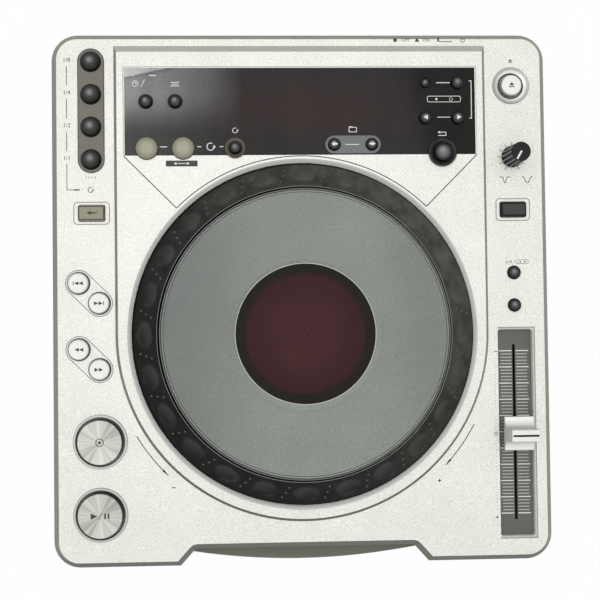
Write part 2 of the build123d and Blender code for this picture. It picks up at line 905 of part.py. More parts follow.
def round_button(place, radius, rise, crown, surface, under, hole):
    """A round cap standing over its panel's surface, with a flange caught below the panel."""
    x, y = place
    top = surface + rise
    catch = under - seat_gap
    # the top is a shallow sphere about a point on the button's own axis
    reach = radius - edge_break
    sphere = (reach**2 + crown**2) / (2 * crown)
    half_angle = asin(reach / sphere) / 2
    middle = (sphere * sin(half_angle), top + crown - sphere + sphere * cos(half_angle))
    with BuildPart() as button:
        with BuildSketch(section_at(x, y)):
            with BuildLine():
                Polyline(
                    (0, top + crown),
                    (0, catch - flange_thickness),
                    (hole + flange_lip, catch - flange_thickness),
                    (hole + flange_lip, catch),
                    (radius, catch),
                    (radius, top - edge_break),
                    (reach, top),
                )
                ThreePointArc((reach, top), middle, (0, top + crown))
            make_face()
        revolve(axis=normal_at(x, y))
    return button.part


def key_button(place, width, depth, rise):
    """A rectangular cap on a wing with rounded corners and a flange below the plate."""
    catch = wing_under - seat_gap
    with BuildPart() as button:
        with BuildSketch(deck_at(*place, catch)):
            RectangleRounded(width, depth, key_corner - button_gap)
        extrude(amount=rise - catch)
        chamfer(button.faces().sort_by(Axis(deck.origin, deck.z_dir))[-1].edges(), edge_break)
        with BuildSketch(deck_at(*place, catch - flange_thickness)):
            lip = 2 * (button_gap + flange_lip)
            RectangleRounded(width + lip, depth + lip, key_corner)
        extrude(amount=flange_thickness)
    return button.part


for name, (place, radius, rise, crown) in wing_buttons.items():
    write_piece(round_button(place, radius, rise, crown, 0, wing_under, radius + button_gap), name)

for name, (place, radius, rise, crown) in window_buttons.items():
    write_piece(round_button(place, radius, rise, crown, block_top, hood_under, radius + button_gap), name)

for name, place in (("cue_button", cue_place), ("play_button", play_place)):
    button = round_button(
        place, transport_radius, transport_rise, -button_dish, 0, wing_under, transport_ring_bore
    )
    write_piece(button, name)

write_piece(
    round_button(eject_place, eject_radius, eject_rise, button_crown, 0, wing_under, eject_ring_throat),
    "eject_button",
)
for name, place, radius, rise in (
    ("reloop_button", reloop_place, reloop_radius, reloop_rise),
    ("quick_return_button", return_place, return_radius, return_rise),
):
    button = round_button(place, radius, rise, button_crown, block_top, hood_under, radius + button_gap)
    write_piece(button, name)
write_piece(key_button(reverse_place, reverse_width, reverse_depth, key_rise), "reverse_button")
write_piece(key_button(jog_mode_place, jog_mode_width, jog_mode_depth, key_rise), "jog_mode_button")

with BuildPart() as speed_knob:
    turned(
        *knob_place,
        (0, knob_shaft_end),
        (knob_shaft_radius, knob_shaft_end),
        (knob_shaft_radius, knob_lift),
        (knob_radius, knob_lift),
        (knob_top_radius, knob_height - edge_break),
        (knob_top_radius - edge_break, knob_height),
        (0, knob_height),
    )
    with BuildSketch(deck_at(*knob_place, knob_lift + knob_foot)):
        flute_centre = (knob_radius + knob_top_radius) / 2 + knob_flute_radius - knob_flute_depth
        with PolarLocations(flute_centre, knob_flutes):
            Circle(knob_flute_radius)
    extrude(amount=knob_height, mode=Mode.SUBTRACT)
write_piece(speed_knob.part, "speed_knob")

# ---------------------------------------------------------------- tempo fader

with BuildPart() as fader_panel:
    with BuildSketch(deck_at(*fader_place, -recess_depth - fader_panel_thickness)):
        Rectangle(recess_width + 2 * fader_panel_lip, recess_length + 2 * fader_panel_lip)
        Rectangle(fader_slot_width, fader_slot_length, mode=Mode.SUBTRACT)
    extrude(amount=fader_panel_thickness)
write_piece(fader_panel.part, "fader_panel")

fader_body_top = -recess_depth - fader_panel_thickness
with BuildPart() as fader_body:
    with BuildSketch(deck_at(*fader_place, fader_body_top - fader_body_depth)):
        Rectangle(fader_body_width, fader_body_length)
    extrude(amount=fader_body_depth)
    with BuildSketch(deck_at(*fader_place, fader_body_top)):
        Rectangle(fader_slot_width, fader_slot_length)
    extrude(amount=fader_floor - fader_body_depth, mode=Mode.SUBTRACT)
write_piece(fader_body.part, "fader_body")

with BuildPart() as fader_cap:
    cap_foot = -recess_depth + cap_lift
    cap_shoulder = cap_foot + cap_skirt_height
    cap_top = cap_foot + cap_height
    waist = cap_shoulder + (cap_height - cap_skirt_height) / 2
    # side profile: a flared skirt that sweeps up to the raised bar
    with BuildSketch(side_section_at(*fader_place)):
        with BuildLine():
            Polyline(
                (-cap_bar / 2, waist),
                (-cap_bar / 2, cap_top),
                (cap_bar / 2, cap_top),
                (cap_bar / 2, waist),
            )
            RadiusArc((cap_bar / 2, waist), (cap_length / 2, cap_shoulder), cap_sweep_radius)
            Polyline(
                (cap_length / 2, cap_shoulder),
                (cap_length / 2, cap_foot),
                (-cap_length / 2, cap_foot),
                (-cap_length / 2, cap_shoulder),
            )
            RadiusArc((-cap_length / 2, cap_shoulder), (-cap_bar / 2, waist), cap_sweep_radius)
        make_face()
    extrude(amount=cap_width / 2, both=True)
    chamfer(fader_cap.faces().sort_by(Axis(deck.origin, deck.z_dir))[-1].edges(), edge_break)
    with BuildSketch(deck_at(*fader_place, cap_foot)):
        Rectangle(stem_thickness, stem_length)
    extrude(amount=fader_body_top - stem_reach - cap_foot)
write_piece(fader_cap.part, "fader_cap")

# ---------------------------------------------------------------- jog wheel

base_low = -jog_base_depth
base_floor = base_low + jog_base_wall
base_outer = hood_arc_radius
with BuildPart() as jog_base:
    turned(
        0,
        jog_y,
        (post_radius - post_wall, base_low),
        (base_outer, base_low),
        (base_outer, block_under),
        (base_outer - jog_base_wall, block_under),
        (base_outer - jog_base_wall, base_floor),
        (post_radius, base_floor),
        (post_radius, post_top),
        (post_radius - post_wall, post_top),
    )
write_piece(jog_base.part, "jog_base")

platter_under = platter_height - platter_thickness
collar_top = platter_under - platter_press - slide_gap
with BuildPart() as jog_wheel:
    turned(
        0,
        jog_y,
        (post_radius + shaft_gap, base_floor + wheel_lift),
        (hub_radius, base_floor + wheel_lift),
        (hub_radius, -wheel_web),
        (encoder_radius - encoder_wall, -wheel_web),
        (encoder_radius - encoder_wall, encoder_low),
        (encoder_radius, encoder_low),
        (encoder_radius, ring_seat),
        (ring_crest_radius + slide_gap, ring_seat),
        (ring_crest_radius + slide_gap, 0),
        (collar_radius, 0),
        (collar_radius, collar_top),
        (collar_radius - collar_wall, collar_top),
        (collar_radius - collar_wall, 0),
        (hub_radius, 0),
        (hub_radius, post_top - edge_break),
        (post_radius + shaft_gap, post_top - edge_break),
    )
    # slots between the encoder teeth, cut into the rim's lower edge
    slot_arc = encoder_radius * radians(180 / encoder_teeth)
    with BuildSketch(deck_at(0, jog_y, encoder_low)):
        with PolarLocations(encoder_radius - encoder_wall / 2, encoder_teeth):
            Rectangle(2 * encoder_wall, slot_arc)
    extrude(amount=encoder_tooth_depth, mode=Mode.SUBTRACT)
write_piece(jog_wheel.part, "jog_wheel")

# One dimple cutter, lying over the ring's slope at angle 0: a spindle with a crowned side, so
# that it leaves an oval hollow of the given length, width and depth
slope_run = ring_radius - ring_edge - ring_crest_radius
slope_rise = ring_crest_height - ring_rim_height
slope = Vector(slope_rise, 0, slope_run).normalized()
slope_middle = Vector(ring_crest_radius + slope_run / 2, 0, ring_rim_height + slope_rise / 2)
cutter_radius = dimple_width**2 / (8 * dimple_depth) + dimple_depth / 2
crown_radius = dimple_length**2 / (8 * dimple_depth) + dimple_depth / 2
cutter_half = dimple_length / 2 + ring_edge
cutter_end = cutter_radius - crown_radius + sqrt(crown_radius**2 - cutter_half**2)
cutter_axis = slope_middle + slope * (cutter_radius - dimple_depth)
cutter_plane = Plane(origin=cutter_axis, x_dir=(0, 1, 0), z_dir=Vector(0, 1, 0).cross(-slope))
with BuildPart() as dimple_cutter:
    with BuildSketch(cutter_plane):
        with BuildLine():
            ThreePointArc((-cutter_half, cutter_end), (0, cutter_radius), (cutter_half, cutter_end))
            Polyline(
                (cutter_half, cutter_end), (cutter_half, 0), (-cutter_half, 0), (-cutter_half, cutter_end)
            )
        make_face()
    revolve(axis=Axis(cutter_axis, (0, 1, 0)))

with BuildPart() as jog_ring:
    turned(
        0,
        jog_y,
        (encoder_radius + shaft_gap, -ring_skirt),
        (ring_radius, -ring_skirt),
        (ring_radius, ring_rim_height - ring_edge),
        (ring_radius - ring_edge, ring_rim_height),
        (ring_crest_radius + edge_break, ring_crest_height - edge_break / 2),
        (ring_crest_radius, ring_crest_height - edge_break),
        (ring_crest_radius, ring_seat),
        (encoder_radius + shaft_gap, ring_seat),
    )
    with Locations(deck_at(0, jog_y)):
        with PolarLocations(0, dimple_count):
            add(dimple_cutter.part, mode=Mode.SUBTRACT)
write_piece(jog_ring.part, "jog_ring")

lens_top = platter_height - lens_recess
lens_under = lens_top - lens_thickness
sleeve_bore = collar_radius + slide_gap
with BuildPart() as jog_platter:
    turned(
        0,
        jog_y,
        (lens_radius - lens_ledge, platter_under),
        (sleeve_bore, platter_under),
        (sleeve_bore, platter_sleeve_end),
        (sleeve_bore + collar_wall, platter_sleeve_end),
        (sleeve_bore + collar_wall, platter_under),
        (platter_radius - platter_rim, platter_under),
        (platter_radius - platter_rim, platter_rim_end),
        (platter_radius, platter_rim_end),
        (platter_radius, platter_height - edge_break),
        (platter_radius - edge_break, platter_height),
        (lens_radius + shaft_gap, platter_height),
        (lens_radius + shaft_gap, lens_under),
        (lens_radius - lens_ledge, lens_under),
    )
write_piece(jog_platter.part, "jog_platter")

with BuildPart() as jog_lens:
    with BuildSketch(deck_at(0, jog_y, lens_under)):
        Circle(lens_radius)
    extrude(amount=lens_thickness)
write_piece(jog_lens.part, "jog_lens")

with BuildPart() as jog_display:
    turned(
        0,
        jog_y,
        (0, post_top - display_plug),
        (post_radius - post_wall - shaft_gap, post_top - display_plug),
        (post_radius - post_wall - shaft_gap, post_top),
        (jog_display_radius, post_top),
        (jog_display_radius, post_top + jog_display_thickness),
        (0, post_top + jog_display_thickness),
    )
write_piece(jog_display.part, "jog_display")

# ---------------------------------------------------------------- bottom case

with BuildPart() as bottom_case:
    with BuildSketch(Plane.XY.offset(foot_height)):
        add(case_outline(0))
    extrude(amount=deck_z + skirt_drop)
    chamfer(bottom_case.faces().sort_by(Axis.Z)[0].edges(), case_bottom_chamfer)
    with BuildSketch(Plane.XY.offset(case_floor)):
        add(case_outline(case_wall))
    extrude(amount=deck_z + skirt_drop, mode=Mode.SUBTRACT)
    # posts for the case screws, then the sloping upper edge of walls and posts together
    with BuildSketch(Plane.XY.offset(foot_height)):
        with Locations(*post_points):
            Circle(post_outer_radius)
    extrude(amount=deck_z + skirt_drop)
    split(bisect_by=deck.offset(-skirt_drop), keep=Keep.BOTTOM)
    with BuildSketch(Plane.XY.offset(foot_height)):
        with Locations(*post_points):
            Circle(post_bore)
    extrude(amount=deck_z, mode=Mode.SUBTRACT)
    with BuildSketch(Plane.XY.offset(foot_height)):
        with Locations(*post_points):
            Circle(post_counterbore)
    extrude(amount=counterbore_depth, mode=Mode.SUBTRACT)
    # standoffs of the drive and of the boards
    with BuildSketch(Plane.XY.offset(case_floor)):
        with Locations(*drive_posts):
            Circle(boss_radius)
    extrude(amount=chassis_rise - case_floor)
    with BuildSketch(Plane.XY.offset(case_floor)):
        with Locations(*board_posts):
            Circle(boss_radius)
    extrude(amount=main_board_height - case_floor)
    # front opening for the bezel's tongue, open at the top, and the rear window
    with BuildSketch(Plane.XY.offset(bezel_low)):
        with Locations((0, case_front)):
            Rectangle(2 * (bezel_tongue_half_width + slide_gap), 4 * case_wall)
    extrude(amount=deck_z, mode=Mode.SUBTRACT)
    with BuildSketch(Plane.XY.offset(rear_low)):
        with Locations((0, case_rear)):
            Rectangle(rear_window_width, 4 * case_wall)
    extrude(amount=rear_high - rear_low, mode=Mode.SUBTRACT)
    # cooling slots through the floor
    with BuildSketch(Plane.XY.offset(foot_height)):
        with Locations((vent_x, vent_y), (-vent_x, vent_y)):
            with GridLocations(vent_pitch, 0, vent_slots, 1):
                SlotOverall(vent_length, vent_width, rotation=90)
    extrude(amount=case_wall, mode=Mode.SUBTRACT)
write_piece(bottom_case.part, "bottom_case")

with BuildPart() as feet:
    for x, y in foot_points:
        turned_on(
            Plane((x, y, 0), x_dir=(1, 0, 0), z_dir=(0, -1, 0)),
            (foot_dimple, 0),
            (foot_radius - edge_break, 0),
            (foot_radius, edge_break),
            (foot_radius, foot_height),
            (0, foot_height),
            (0, foot_height / 2),
            (foot_dimple, foot_height / 2),
        )
write_piece(feet.part, "feet")

with BuildPart() as case_screws:
    head_seat = foot_height + counterbore_depth
    for x, y in post_points:
        with BuildSketch(Plane.XY.offset(head_seat - screw_head_height)):
            with Locations((x, y)):
                Circle(screw_head_radius)
        extrude(amount=screw_head_height)
        with BuildSketch(Plane.XY.offset(head_seat)):
            with Locations((x, y)):
                Circle(screw_radius)
        extrude(amount=height_over(x, y, -skirt_drop) + screw_grip - head_seat)
write_piece(case_screws.part, "case_screws")

# ---------------------------------------------------------------- disc slot and drive

with BuildPart() as front_bezel:
    # side profile from the nose to the tongue; the top lies under the skirt's lower edge
    skirt_y = deck.from_local_coords(Vector(0, front, -skirt_drop)).Y
    tongue_y = case_front + bezel_tongue
    with BuildSketch(Plane.YZ.offset(-bezel_half_width)):
        with BuildLine():
            Polyline(
                (tongue_y, bezel_low + slide_gap),
                (case_front, bezel_low + slide_gap),
                (nose_y, slot_z - bezel_nose_height),
                (nose_y, slot_z + bezel_nose_height),
                (skirt_y, height_over(0, skirt_y, -skirt_drop)),
                (tongue_y, height_over(0, tongue_y, -skirt_drop)),
                close=True,
            )
        make_face()
    extrude(amount=2 * bezel_half_width)
    # plan outline: a long arc in front, and a narrower tongue through the case wall
    sagitta = bezel_arc_radius - sqrt(bezel_arc_radius**2 - bezel_half_width**2)
    with BuildSketch(Plane.XY):
        with BuildLine():
            ThreePointArc(
                (-bezel_half_width, nose_y + sagitta), (0, nose_y), (bezel_half_width, nose_y + sagitta)
            )
            Polyline(
                (bezel_half_width, nose_y + sagitta),
                (bezel_half_width, case_front),
                (bezel_tongue_half_width, case_front),
                (bezel_tongue_half_width, tongue_y),
                (-bezel_tongue_half_width, tongue_y),
                (-bezel_tongue_half_width, case_front),
                (-bezel_half_width, case_front),
                (-bezel_half_width, nose_y + sagitta),
            )
        make_face()
    extrude(amount=2 * deck_z, mode=Mode.INTERSECT)
    # disc slot with a flared mouth
    with BuildSketch(Plane.XZ.offset(-tongue_y)):
        with Locations((0, slot_z)):
            Rectangle(slot_width, slot_gap)
    extrude(amount=tongue_y - nose_y, mode=Mode.SUBTRACT)
    mouth = front_bezel.edges().filter_by_position(Axis.Z, slot_z - slot_gap, slot_z + slot_gap)
    mouth = mouth.filter_by_position(Axis.Y, nose_y - 1, case_front)
    chamfer(mouth.filter_by(lambda edge: edge.center().Y < case_front - bezel_tongue / 2), slot_flare)
write_piece(front_bezel.part, "front_bezel")

disc_low = slot_z - slot_gap / 2 + disc_clearance
turntable_z = slot_z - turntable_sink
roller_y = spindle_y - disc_radius - roller_radius - roller_clearance
roller_z = disc_low - disc_clearance - roller_radius
floor_top = chassis_rise + chassis_sheet
motor_top = turntable_z - turntable_thickness - turntable_hub
guide_z = slot_z + guide_rise
hinge_y = chassis_rear - hinge_inset
hinge_z = slot_z + hinge_rise
rod_front = spindle_y + sled_start - sled_length / 2 - rod_overrun
rod_rear = spindle_y + sled_start + sled_travel + sled_length / 2 + rod_overrun

with BuildPart() as drive_chassis:
    # floor with the pickup's window, then the side walls and the two cross pieces
    chassis_y = (chassis_front + chassis_rear) / 2
    rod_y = (rod_front + rod_rear) / 2
    with BuildSketch(Plane.XY.offset(chassis_rise)):
        with Locations((0, chassis_y)):
            Rectangle(2 * chassis_half_width, chassis_length)
        with Locations((0, rod_y)):
            Rectangle(rod_spacing - 4 * rod_radius, sled_travel + sled_length, mode=Mode.SUBTRACT)
    extrude(amount=chassis_sheet)
    with BuildSketch(Plane.XY.offset(chassis_rise)):
        wall_x = chassis_half_width - chassis_sheet / 2
        with Locations((-wall_x, chassis_y), (wall_x, chassis_y)):
            Rectangle(chassis_sheet, chassis_length)
    extrude(amount=guide_z + chassis_sheet - chassis_rise)
    with BuildSketch(Plane.XY.offset(guide_z)):
        with Locations((0, chassis_front + guide_length / 2)):
            Rectangle(2 * chassis_half_width, guide_length)
        with Locations((0, chassis_rear - bridge_length / 2)):
            Rectangle(2 * chassis_half_width, bridge_length)
    extrude(amount=chassis_sheet)
    # ears of the clamp arm's hinge
    with BuildSketch(Plane.XY.offset(guide_z)):
        with Locations((ear_x, hinge_y), (-ear_x, hinge_y)):
            Rectangle(chassis_sheet, 2 * barrel_radius + chassis_sheet)
    extrude(amount=hinge_z + barrel_radius - guide_z)
    # motor can and the upstands that hold the pickup's rods
    with BuildSketch(Plane.XY.offset(chassis_rise)):
        with Locations((0, spindle_y)):
            Circle(motor_radius)
    extrude(amount=motor_top - chassis_rise)
    with BuildSketch(Plane.XY.offset(chassis_rise)):
        for x in (-rod_spacing / 2, rod_spacing / 2):
            with Locations((x, rod_front), (x, rod_rear)):
                Rectangle(6 * rod_radius, chassis_sheet)
    extrude(amount=rod_height + 2 * rod_radius - chassis_rise)
    with BuildSketch(Plane.XZ.offset(-rod_front)):
        with Locations((-rod_spacing / 2, rod_height), (rod_spacing / 2, rod_height)):
            Circle(rod_radius)
    extrude(amount=rod_front - rod_rear)
    # bores for the turntable's shaft, the roller's shaft and the hinge pin
    with BuildSketch(Plane.XY.offset(floor_top)):
        with Locations((0, spindle_y)):
            Circle(spindle_radius + shaft_gap)
    extrude(amount=motor_top - floor_top, mode=Mode.SUBTRACT)
    with BuildSketch(Plane.YZ.offset(-chassis_half_width)):
        with Locations((roller_y, roller_z)):
            Circle(roller_shaft_radius + shaft_gap)
        with Locations((hinge_y, hinge_z)):
            Circle(hinge_pin_radius + shaft_gap)
    extrude(amount=2 * chassis_half_width, mode=Mode.SUBTRACT)
write_piece(drive_chassis.part, "drive_chassis")

with BuildPart() as disc_turntable:
    turned_on(
        Plane((0, spindle_y, 0), x_dir=(1, 0, 0), z_dir=(0, -1, 0)),
        (0, floor_top + slide_gap),
        (spindle_radius, floor_top + slide_gap),
        (spindle_radius, motor_top + slide_gap),
        (cone_radius, motor_top + slide_gap),
        (turntable_radius, turntable_z - turntable_thickness),
        (turntable_radius, turntable_z),
        (cone_radius, turntable_z),
        (cone_radius / 2, turntable_z + cone_rise),
        (0, turntable_z + cone_rise),
    )
write_piece(disc_turntable.part, "disc_turntable")

with BuildPart() as pickup_sled:
    sled_y = spindle_y + sled_start
    with BuildSketch(Plane.XY.offset(rod_height - sled_half_height)):
        with Locations((0, sled_y)):
            Rectangle(sled_width, sled_length)
    extrude(amount=2 * sled_half_height)
    with BuildSketch(Plane.XY.offset(rod_height)):
        with Locations((0, sled_y)):
            Circle(lens_turret_radius)
    extrude(amount=turntable_z - turntable_thickness - rod_height)
    with BuildSketch(Plane.XZ.offset(-(sled_y - sled_length / 2))):
        with Locations((-rod_spacing / 2, rod_height), (rod_spacing / 2, rod_height)):
            Circle(rod_radius + shaft_gap)
    extrude(amount=-sled_length, mode=Mode.SUBTRACT)
write_piece(pickup_sled.part, "pickup_sled")

with BuildPart() as loading_roller:
    roller_end = chassis_half_width - chassis_sheet - 2 * roller_clearance
    turned_on(
        Plane((0, roller_y, roller_z), x_dir=(0, 0, 1), z_dir=(0, 1, 0)),
        (0, -chassis_half_width),
        (roller_shaft_radius, -chassis_half_width),
        (roller_shaft_radius, -roller_end),
        (roller_radius, -roller_end),
        (roller_radius - roller_waist, 0),
        (roller_radius, roller_end),
        (roller_shaft_radius, roller_end),
        (roller_shaft_radius, chassis_half_width),
        (0, chassis_half_width),
    )
write_piece(loading_roller.part, "loading_roller")

arm_low = hinge_z - clamp_arm_sheet / 2
with BuildPart() as clamp_arm:
    with BuildSketch(Plane.XY.offset(arm_low)):
        with Locations((0, (hinge_y + spindle_y) / 2)):
            Rectangle(clamp_arm_width, hinge_y - spindle_y)
        with Locations((0, spindle_y)):
            Circle(clamp_arm_width / 2)
            Circle(clamper_neck_radius + 2 * slide_gap, mode=Mode.SUBTRACT)
    extrude(amount=clamp_arm_sheet)
    with BuildSketch(Plane.YZ.offset(-ear_x + chassis_sheet)):
        with Locations((hinge_y, hinge_z)):
            Circle(barrel_radius)
    extrude(amount=2 * (ear_x - chassis_sheet))
    with BuildSketch(Plane.YZ.offset(-ear_x - chassis_sheet)):
        with Locations((hinge_y, hinge_z)):
            Circle(hinge_pin_radius)
    extrude(amount=2 * (ear_x + chassis_sheet))
write_piece(clamp_arm.part, "clamp_arm")

with BuildPart() as clamper:
    puck_low = slot_z + slot_gap / 2 + clamper_lift
    puck_top = arm_low - clamper_lift
    cap_low = arm_low + clamp_arm_sheet + slide_gap
    turned_on(
        Plane((0, spindle_y, 0), x_dir=(1, 0, 0), z_dir=(0, -1, 0)),
        (0, puck_low + cone_rise),
        (cone_radius + clamper_lift, puck_low + cone_rise),
        (cone_radius + clamper_lift, puck_low),
        (clamper_radius, puck_low),
        (clamper_radius, puck_top),
        (clamper_neck_radius, puck_top),
        (clamper_neck_radius, cap_low),
        (clamper_neck_radius + clamp_arm_sheet, cap_low),
        (clamper_neck_radius + clamp_arm_sheet, cap_low + clamp_arm_sheet),
        (0, cap_low + clamp_arm_sheet),
    )
write_piece(clamper.part, "clamper")

# ---------------------------------------------------------------- rear panel and what it carries


def facing_rear(x, z):
    """Section plane of a jack at (x, z): local x is radius, local y runs to the rear from the panel."""
    return Plane((x, rear_panel_y, z), x_dir=(1, 0, 0), z_dir=(0, 0, 1))


with BuildPart() as rear_panel:
    with BuildSketch(Plane.XZ.offset(-rear_panel_y)):
        with Locations((0, (rear_low + rear_high) / 2)):
            Rectangle(rear_window_width + 2 * hood_ledge, rear_high - rear_low + 2 * hood_ledge)
        with Locations(*[(x, jack_height) for x in (*jack_positions, control_jack_x)]):
            Circle(jack_barrel_radius + shaft_gap, mode=Mode.SUBTRACT)
        with Locations((power_x, jack_height)):
            RectangleRounded(
                power_width + 2 * button_gap, power_height + 2 * button_gap, key_corner, mode=Mode.SUBTRACT
            )
        with Locations((inlet_x, jack_height)):
            Rectangle(inlet_body_width, inlet_body_height, mode=Mode.SUBTRACT)
    extrude(amount=rear_panel_sheet)
write_piece(rear_panel.part, "rear_panel")

with BuildPart() as jack_block:
    jack_tip = tip_y - rear_panel_y
    # one board carries all the jacks behind the panel
    jack_span = (min(jack_positions), max(jack_positions))
    with BuildSketch(Plane.XZ.offset(jack_body_depth - rear_panel_y)):
        with Locations(((jack_span[0] + jack_span[1]) / 2, jack_height)):
            Rectangle(jack_span[1] - jack_span[0] + 4 * jack_barrel_radius, 4 * jack_barrel_radius)
    extrude(amount=board_thickness)
    for x in jack_positions:
        turned_on(
            facing_rear(x, jack_height),
            (0, -jack_body_depth),
            (jack_flange_radius, -jack_body_depth),
            (jack_flange_radius, -rear_panel_sheet),
            (jack_barrel_radius, -rear_panel_sheet),
            (jack_barrel_radius, 0),
            (jack_flange_radius, 0),
            (jack_flange_radius, jack_flange),
            (jack_barrel_radius, jack_flange),
            (jack_barrel_radius, jack_tip),
            (jack_bore, jack_tip),
            (jack_bore, jack_flange),
            (0, jack_flange),
        )
    turned_on(
        facing_rear(control_jack_x, jack_height),
        (0, -jack_body_depth),
        (jack_flange_radius, -jack_body_depth),
        (jack_flange_radius, -rear_panel_sheet),
        (jack_barrel_radius, -rear_panel_sheet),
        (jack_barrel_radius, 0),
        (jack_flange_radius, 0),
        (jack_flange_radius, jack_flange),
        (control_jack_bore, jack_flange),
        (control_jack_bore, jack_flange - control_jack_depth),
        (0, jack_flange - control_jack_depth),
    )
write_piece(jack_block.part, "jack_block")

with BuildPart() as mains_inlet:
    inlet_mouth_y = rear_panel_y + inlet_flange
    inlet_place = (inlet_x, jack_height)
    with BuildSketch(Plane.XZ.offset(-inlet_mouth_y)):
        with Locations(inlet_place):
            flange_width = inlet_body_width + 2 * inlet_wall
            RectangleRounded(flange_width, inlet_body_height + 2 * inlet_wall, inlet_wall)
    extrude(amount=inlet_flange)
    with BuildSketch(Plane.XZ.offset(-rear_panel_y)):
        with Locations(inlet_place):
            Rectangle(inlet_body_width - slide_gap, inlet_body_height - slide_gap)
    extrude(amount=inlet_depth - inlet_flange + inlet_wall)
    with BuildSketch(Plane.XZ.offset(-inlet_mouth_y)):
        with Locations(inlet_place):
            SlotOverall(inlet_width, inlet_height)
    extrude(amount=inlet_depth, mode=Mode.SUBTRACT)
    with BuildSketch(Plane.XZ.offset(inlet_depth - inlet_mouth_y)):
        with Locations(inlet_place):
            with GridLocations(inlet_pin_pitch, 0, 2, 1):
                Circle(inlet_pin_radius)
    extrude(amount=inlet_wall - inlet_depth)
write_piece(mains_inlet.part, "mains_inlet")

with BuildPart() as power_button:
    lip = button_gap + flange_lip
    with BuildSketch(Plane.XZ.offset(-(rear_panel_y + power_reach))):
        with Locations((power_x, jack_height)):
            RectangleRounded(power_width, power_height, key_corner - button_gap)
    extrude(amount=power_reach + rear_panel_sheet + seat_gap)
    chamfer(power_button.faces().sort_by(Axis.Y)[-1].edges(), edge_break)
    with BuildSketch(Plane.XZ.offset(-(rear_panel_y - rear_panel_sheet - seat_gap))):
        with Locations((power_x, jack_height)):
            Rectangle(power_width + 2 * lip, power_height + 2 * lip)
    extrude(amount=flange_thickness)
write_piece(power_button.part, "power_button")

# ---------------------------------------------------------------- circuit boards

with BuildPart() as circuit_boards:
    # flat boards on the case's standoffs, with their tall components
    with BuildSketch(Plane.XY.offset(main_board_height)):
        with Locations((main_board_x, board_y)):
            Rectangle(main_board_width, main_board_depth)
        with Locations((supply_board_x, board_y)):
            Rectangle(supply_board_width, main_board_depth)
    extrude(amount=board_thickness)
    with BuildSketch(Plane.XY.offset(main_board_height + board_thickness)):
        with Locations((supply_board_x, board_y)):
            Rectangle(transformer_width, transformer_depth)
    extrude(amount=transformer_height)
    with BuildSketch(Plane.XY.offset(main_board_height + board_thickness)):
        with Locations((supply_board_x, board_y - transformer_depth)):
            Circle(capacitor_radius)
    extrude(amount=capacitor_height)
    with BuildSketch(Plane.XY.offset(main_board_height + board_thickness)):
        with Locations((main_board_x, board_y)):
            Rectangle(heat_sink_width, heat_sink_depth)
    extrude(amount=heat_sink_height)
    # sloping boards under the two wings and under the window, on the bosses above them
    left_board_x = left_x + board_boss_shift + board_boss_radius - side_board_width / 2
    right_board_x = right_x - board_boss_shift - board_boss_radius + side_board_width / 2
    right_board_front = lock_place[1] - lock_radius
    right_board_rear = rear - side_board_inset
    with BuildSketch(deck.offset(-board_drop)):
        with Locations((left_board_x, 0)):
            Rectangle(side_board_width, plate_depth - 2 * side_board_inset)
        with Locations((right_board_x, (right_board_front + right_board_rear) / 2)):
            Rectangle(side_board_width, right_board_rear - right_board_front)
        with Locations((0, window_middle + hood_ledge)):
            Rectangle(2 * (window_board_x + board_boss_radius / 2), window_depth)
    extrude(amount=board_thickness)
    # body of the knob's potentiometer, with the bore of its shaft
    with BuildSketch(deck_at(*knob_place, board_top)):
        Rectangle(pot_width, pot_width)
        Circle(knob_shaft_radius + shaft_gap, mode=Mode.SUBTRACT)
    extrude(amount=wing_under - board_top)
write_piece(circuit_boards.part, "circuit_boards")
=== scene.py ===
"""Dresses a tabletop disc player for mixing: finishes, printed marks, lamps and camera."""
import json
import math

import bmesh
import bpy
from bpy.props import FloatProperty, FloatVectorProperty, PointerProperty
from mathutils import Matrix, Vector
from mathutils.bvhtree import BVHTree


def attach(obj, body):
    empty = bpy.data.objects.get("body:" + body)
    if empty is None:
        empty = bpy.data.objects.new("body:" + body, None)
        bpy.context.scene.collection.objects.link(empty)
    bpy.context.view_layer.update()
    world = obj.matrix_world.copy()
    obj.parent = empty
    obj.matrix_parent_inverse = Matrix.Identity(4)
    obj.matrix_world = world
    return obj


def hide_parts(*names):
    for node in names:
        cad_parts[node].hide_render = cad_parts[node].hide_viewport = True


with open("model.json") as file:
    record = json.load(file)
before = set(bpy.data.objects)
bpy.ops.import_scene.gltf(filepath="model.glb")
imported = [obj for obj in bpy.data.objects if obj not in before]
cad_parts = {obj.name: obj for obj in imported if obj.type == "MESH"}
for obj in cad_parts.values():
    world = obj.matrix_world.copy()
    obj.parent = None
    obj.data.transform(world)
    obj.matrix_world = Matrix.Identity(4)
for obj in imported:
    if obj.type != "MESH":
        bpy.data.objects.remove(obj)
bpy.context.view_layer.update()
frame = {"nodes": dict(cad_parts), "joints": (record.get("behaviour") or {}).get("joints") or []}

bl_info = {
    "name": "Disc Player Dressing",
    "version": (1, 0, 0),
    "blender": (4, 5, 0),
    "location": "3D View > Sidebar > Disc Player",
    "description": "Finishes, marks and a studio for a tabletop disc player",
    "category": "Object",
}

# ---------------------------------------------------------------- the sloping deck

MM = 0.001
JOINTS = {joint["name"]: joint for joint in frame["joints"]}
ACROSS = Vector((1, 0, 0))
UP = Vector(JOINTS["jog_turn"]["axis"]).normalized()
BACK = UP.cross(ACROSS)
SLOPE = math.atan2(BACK.z, BACK.y)

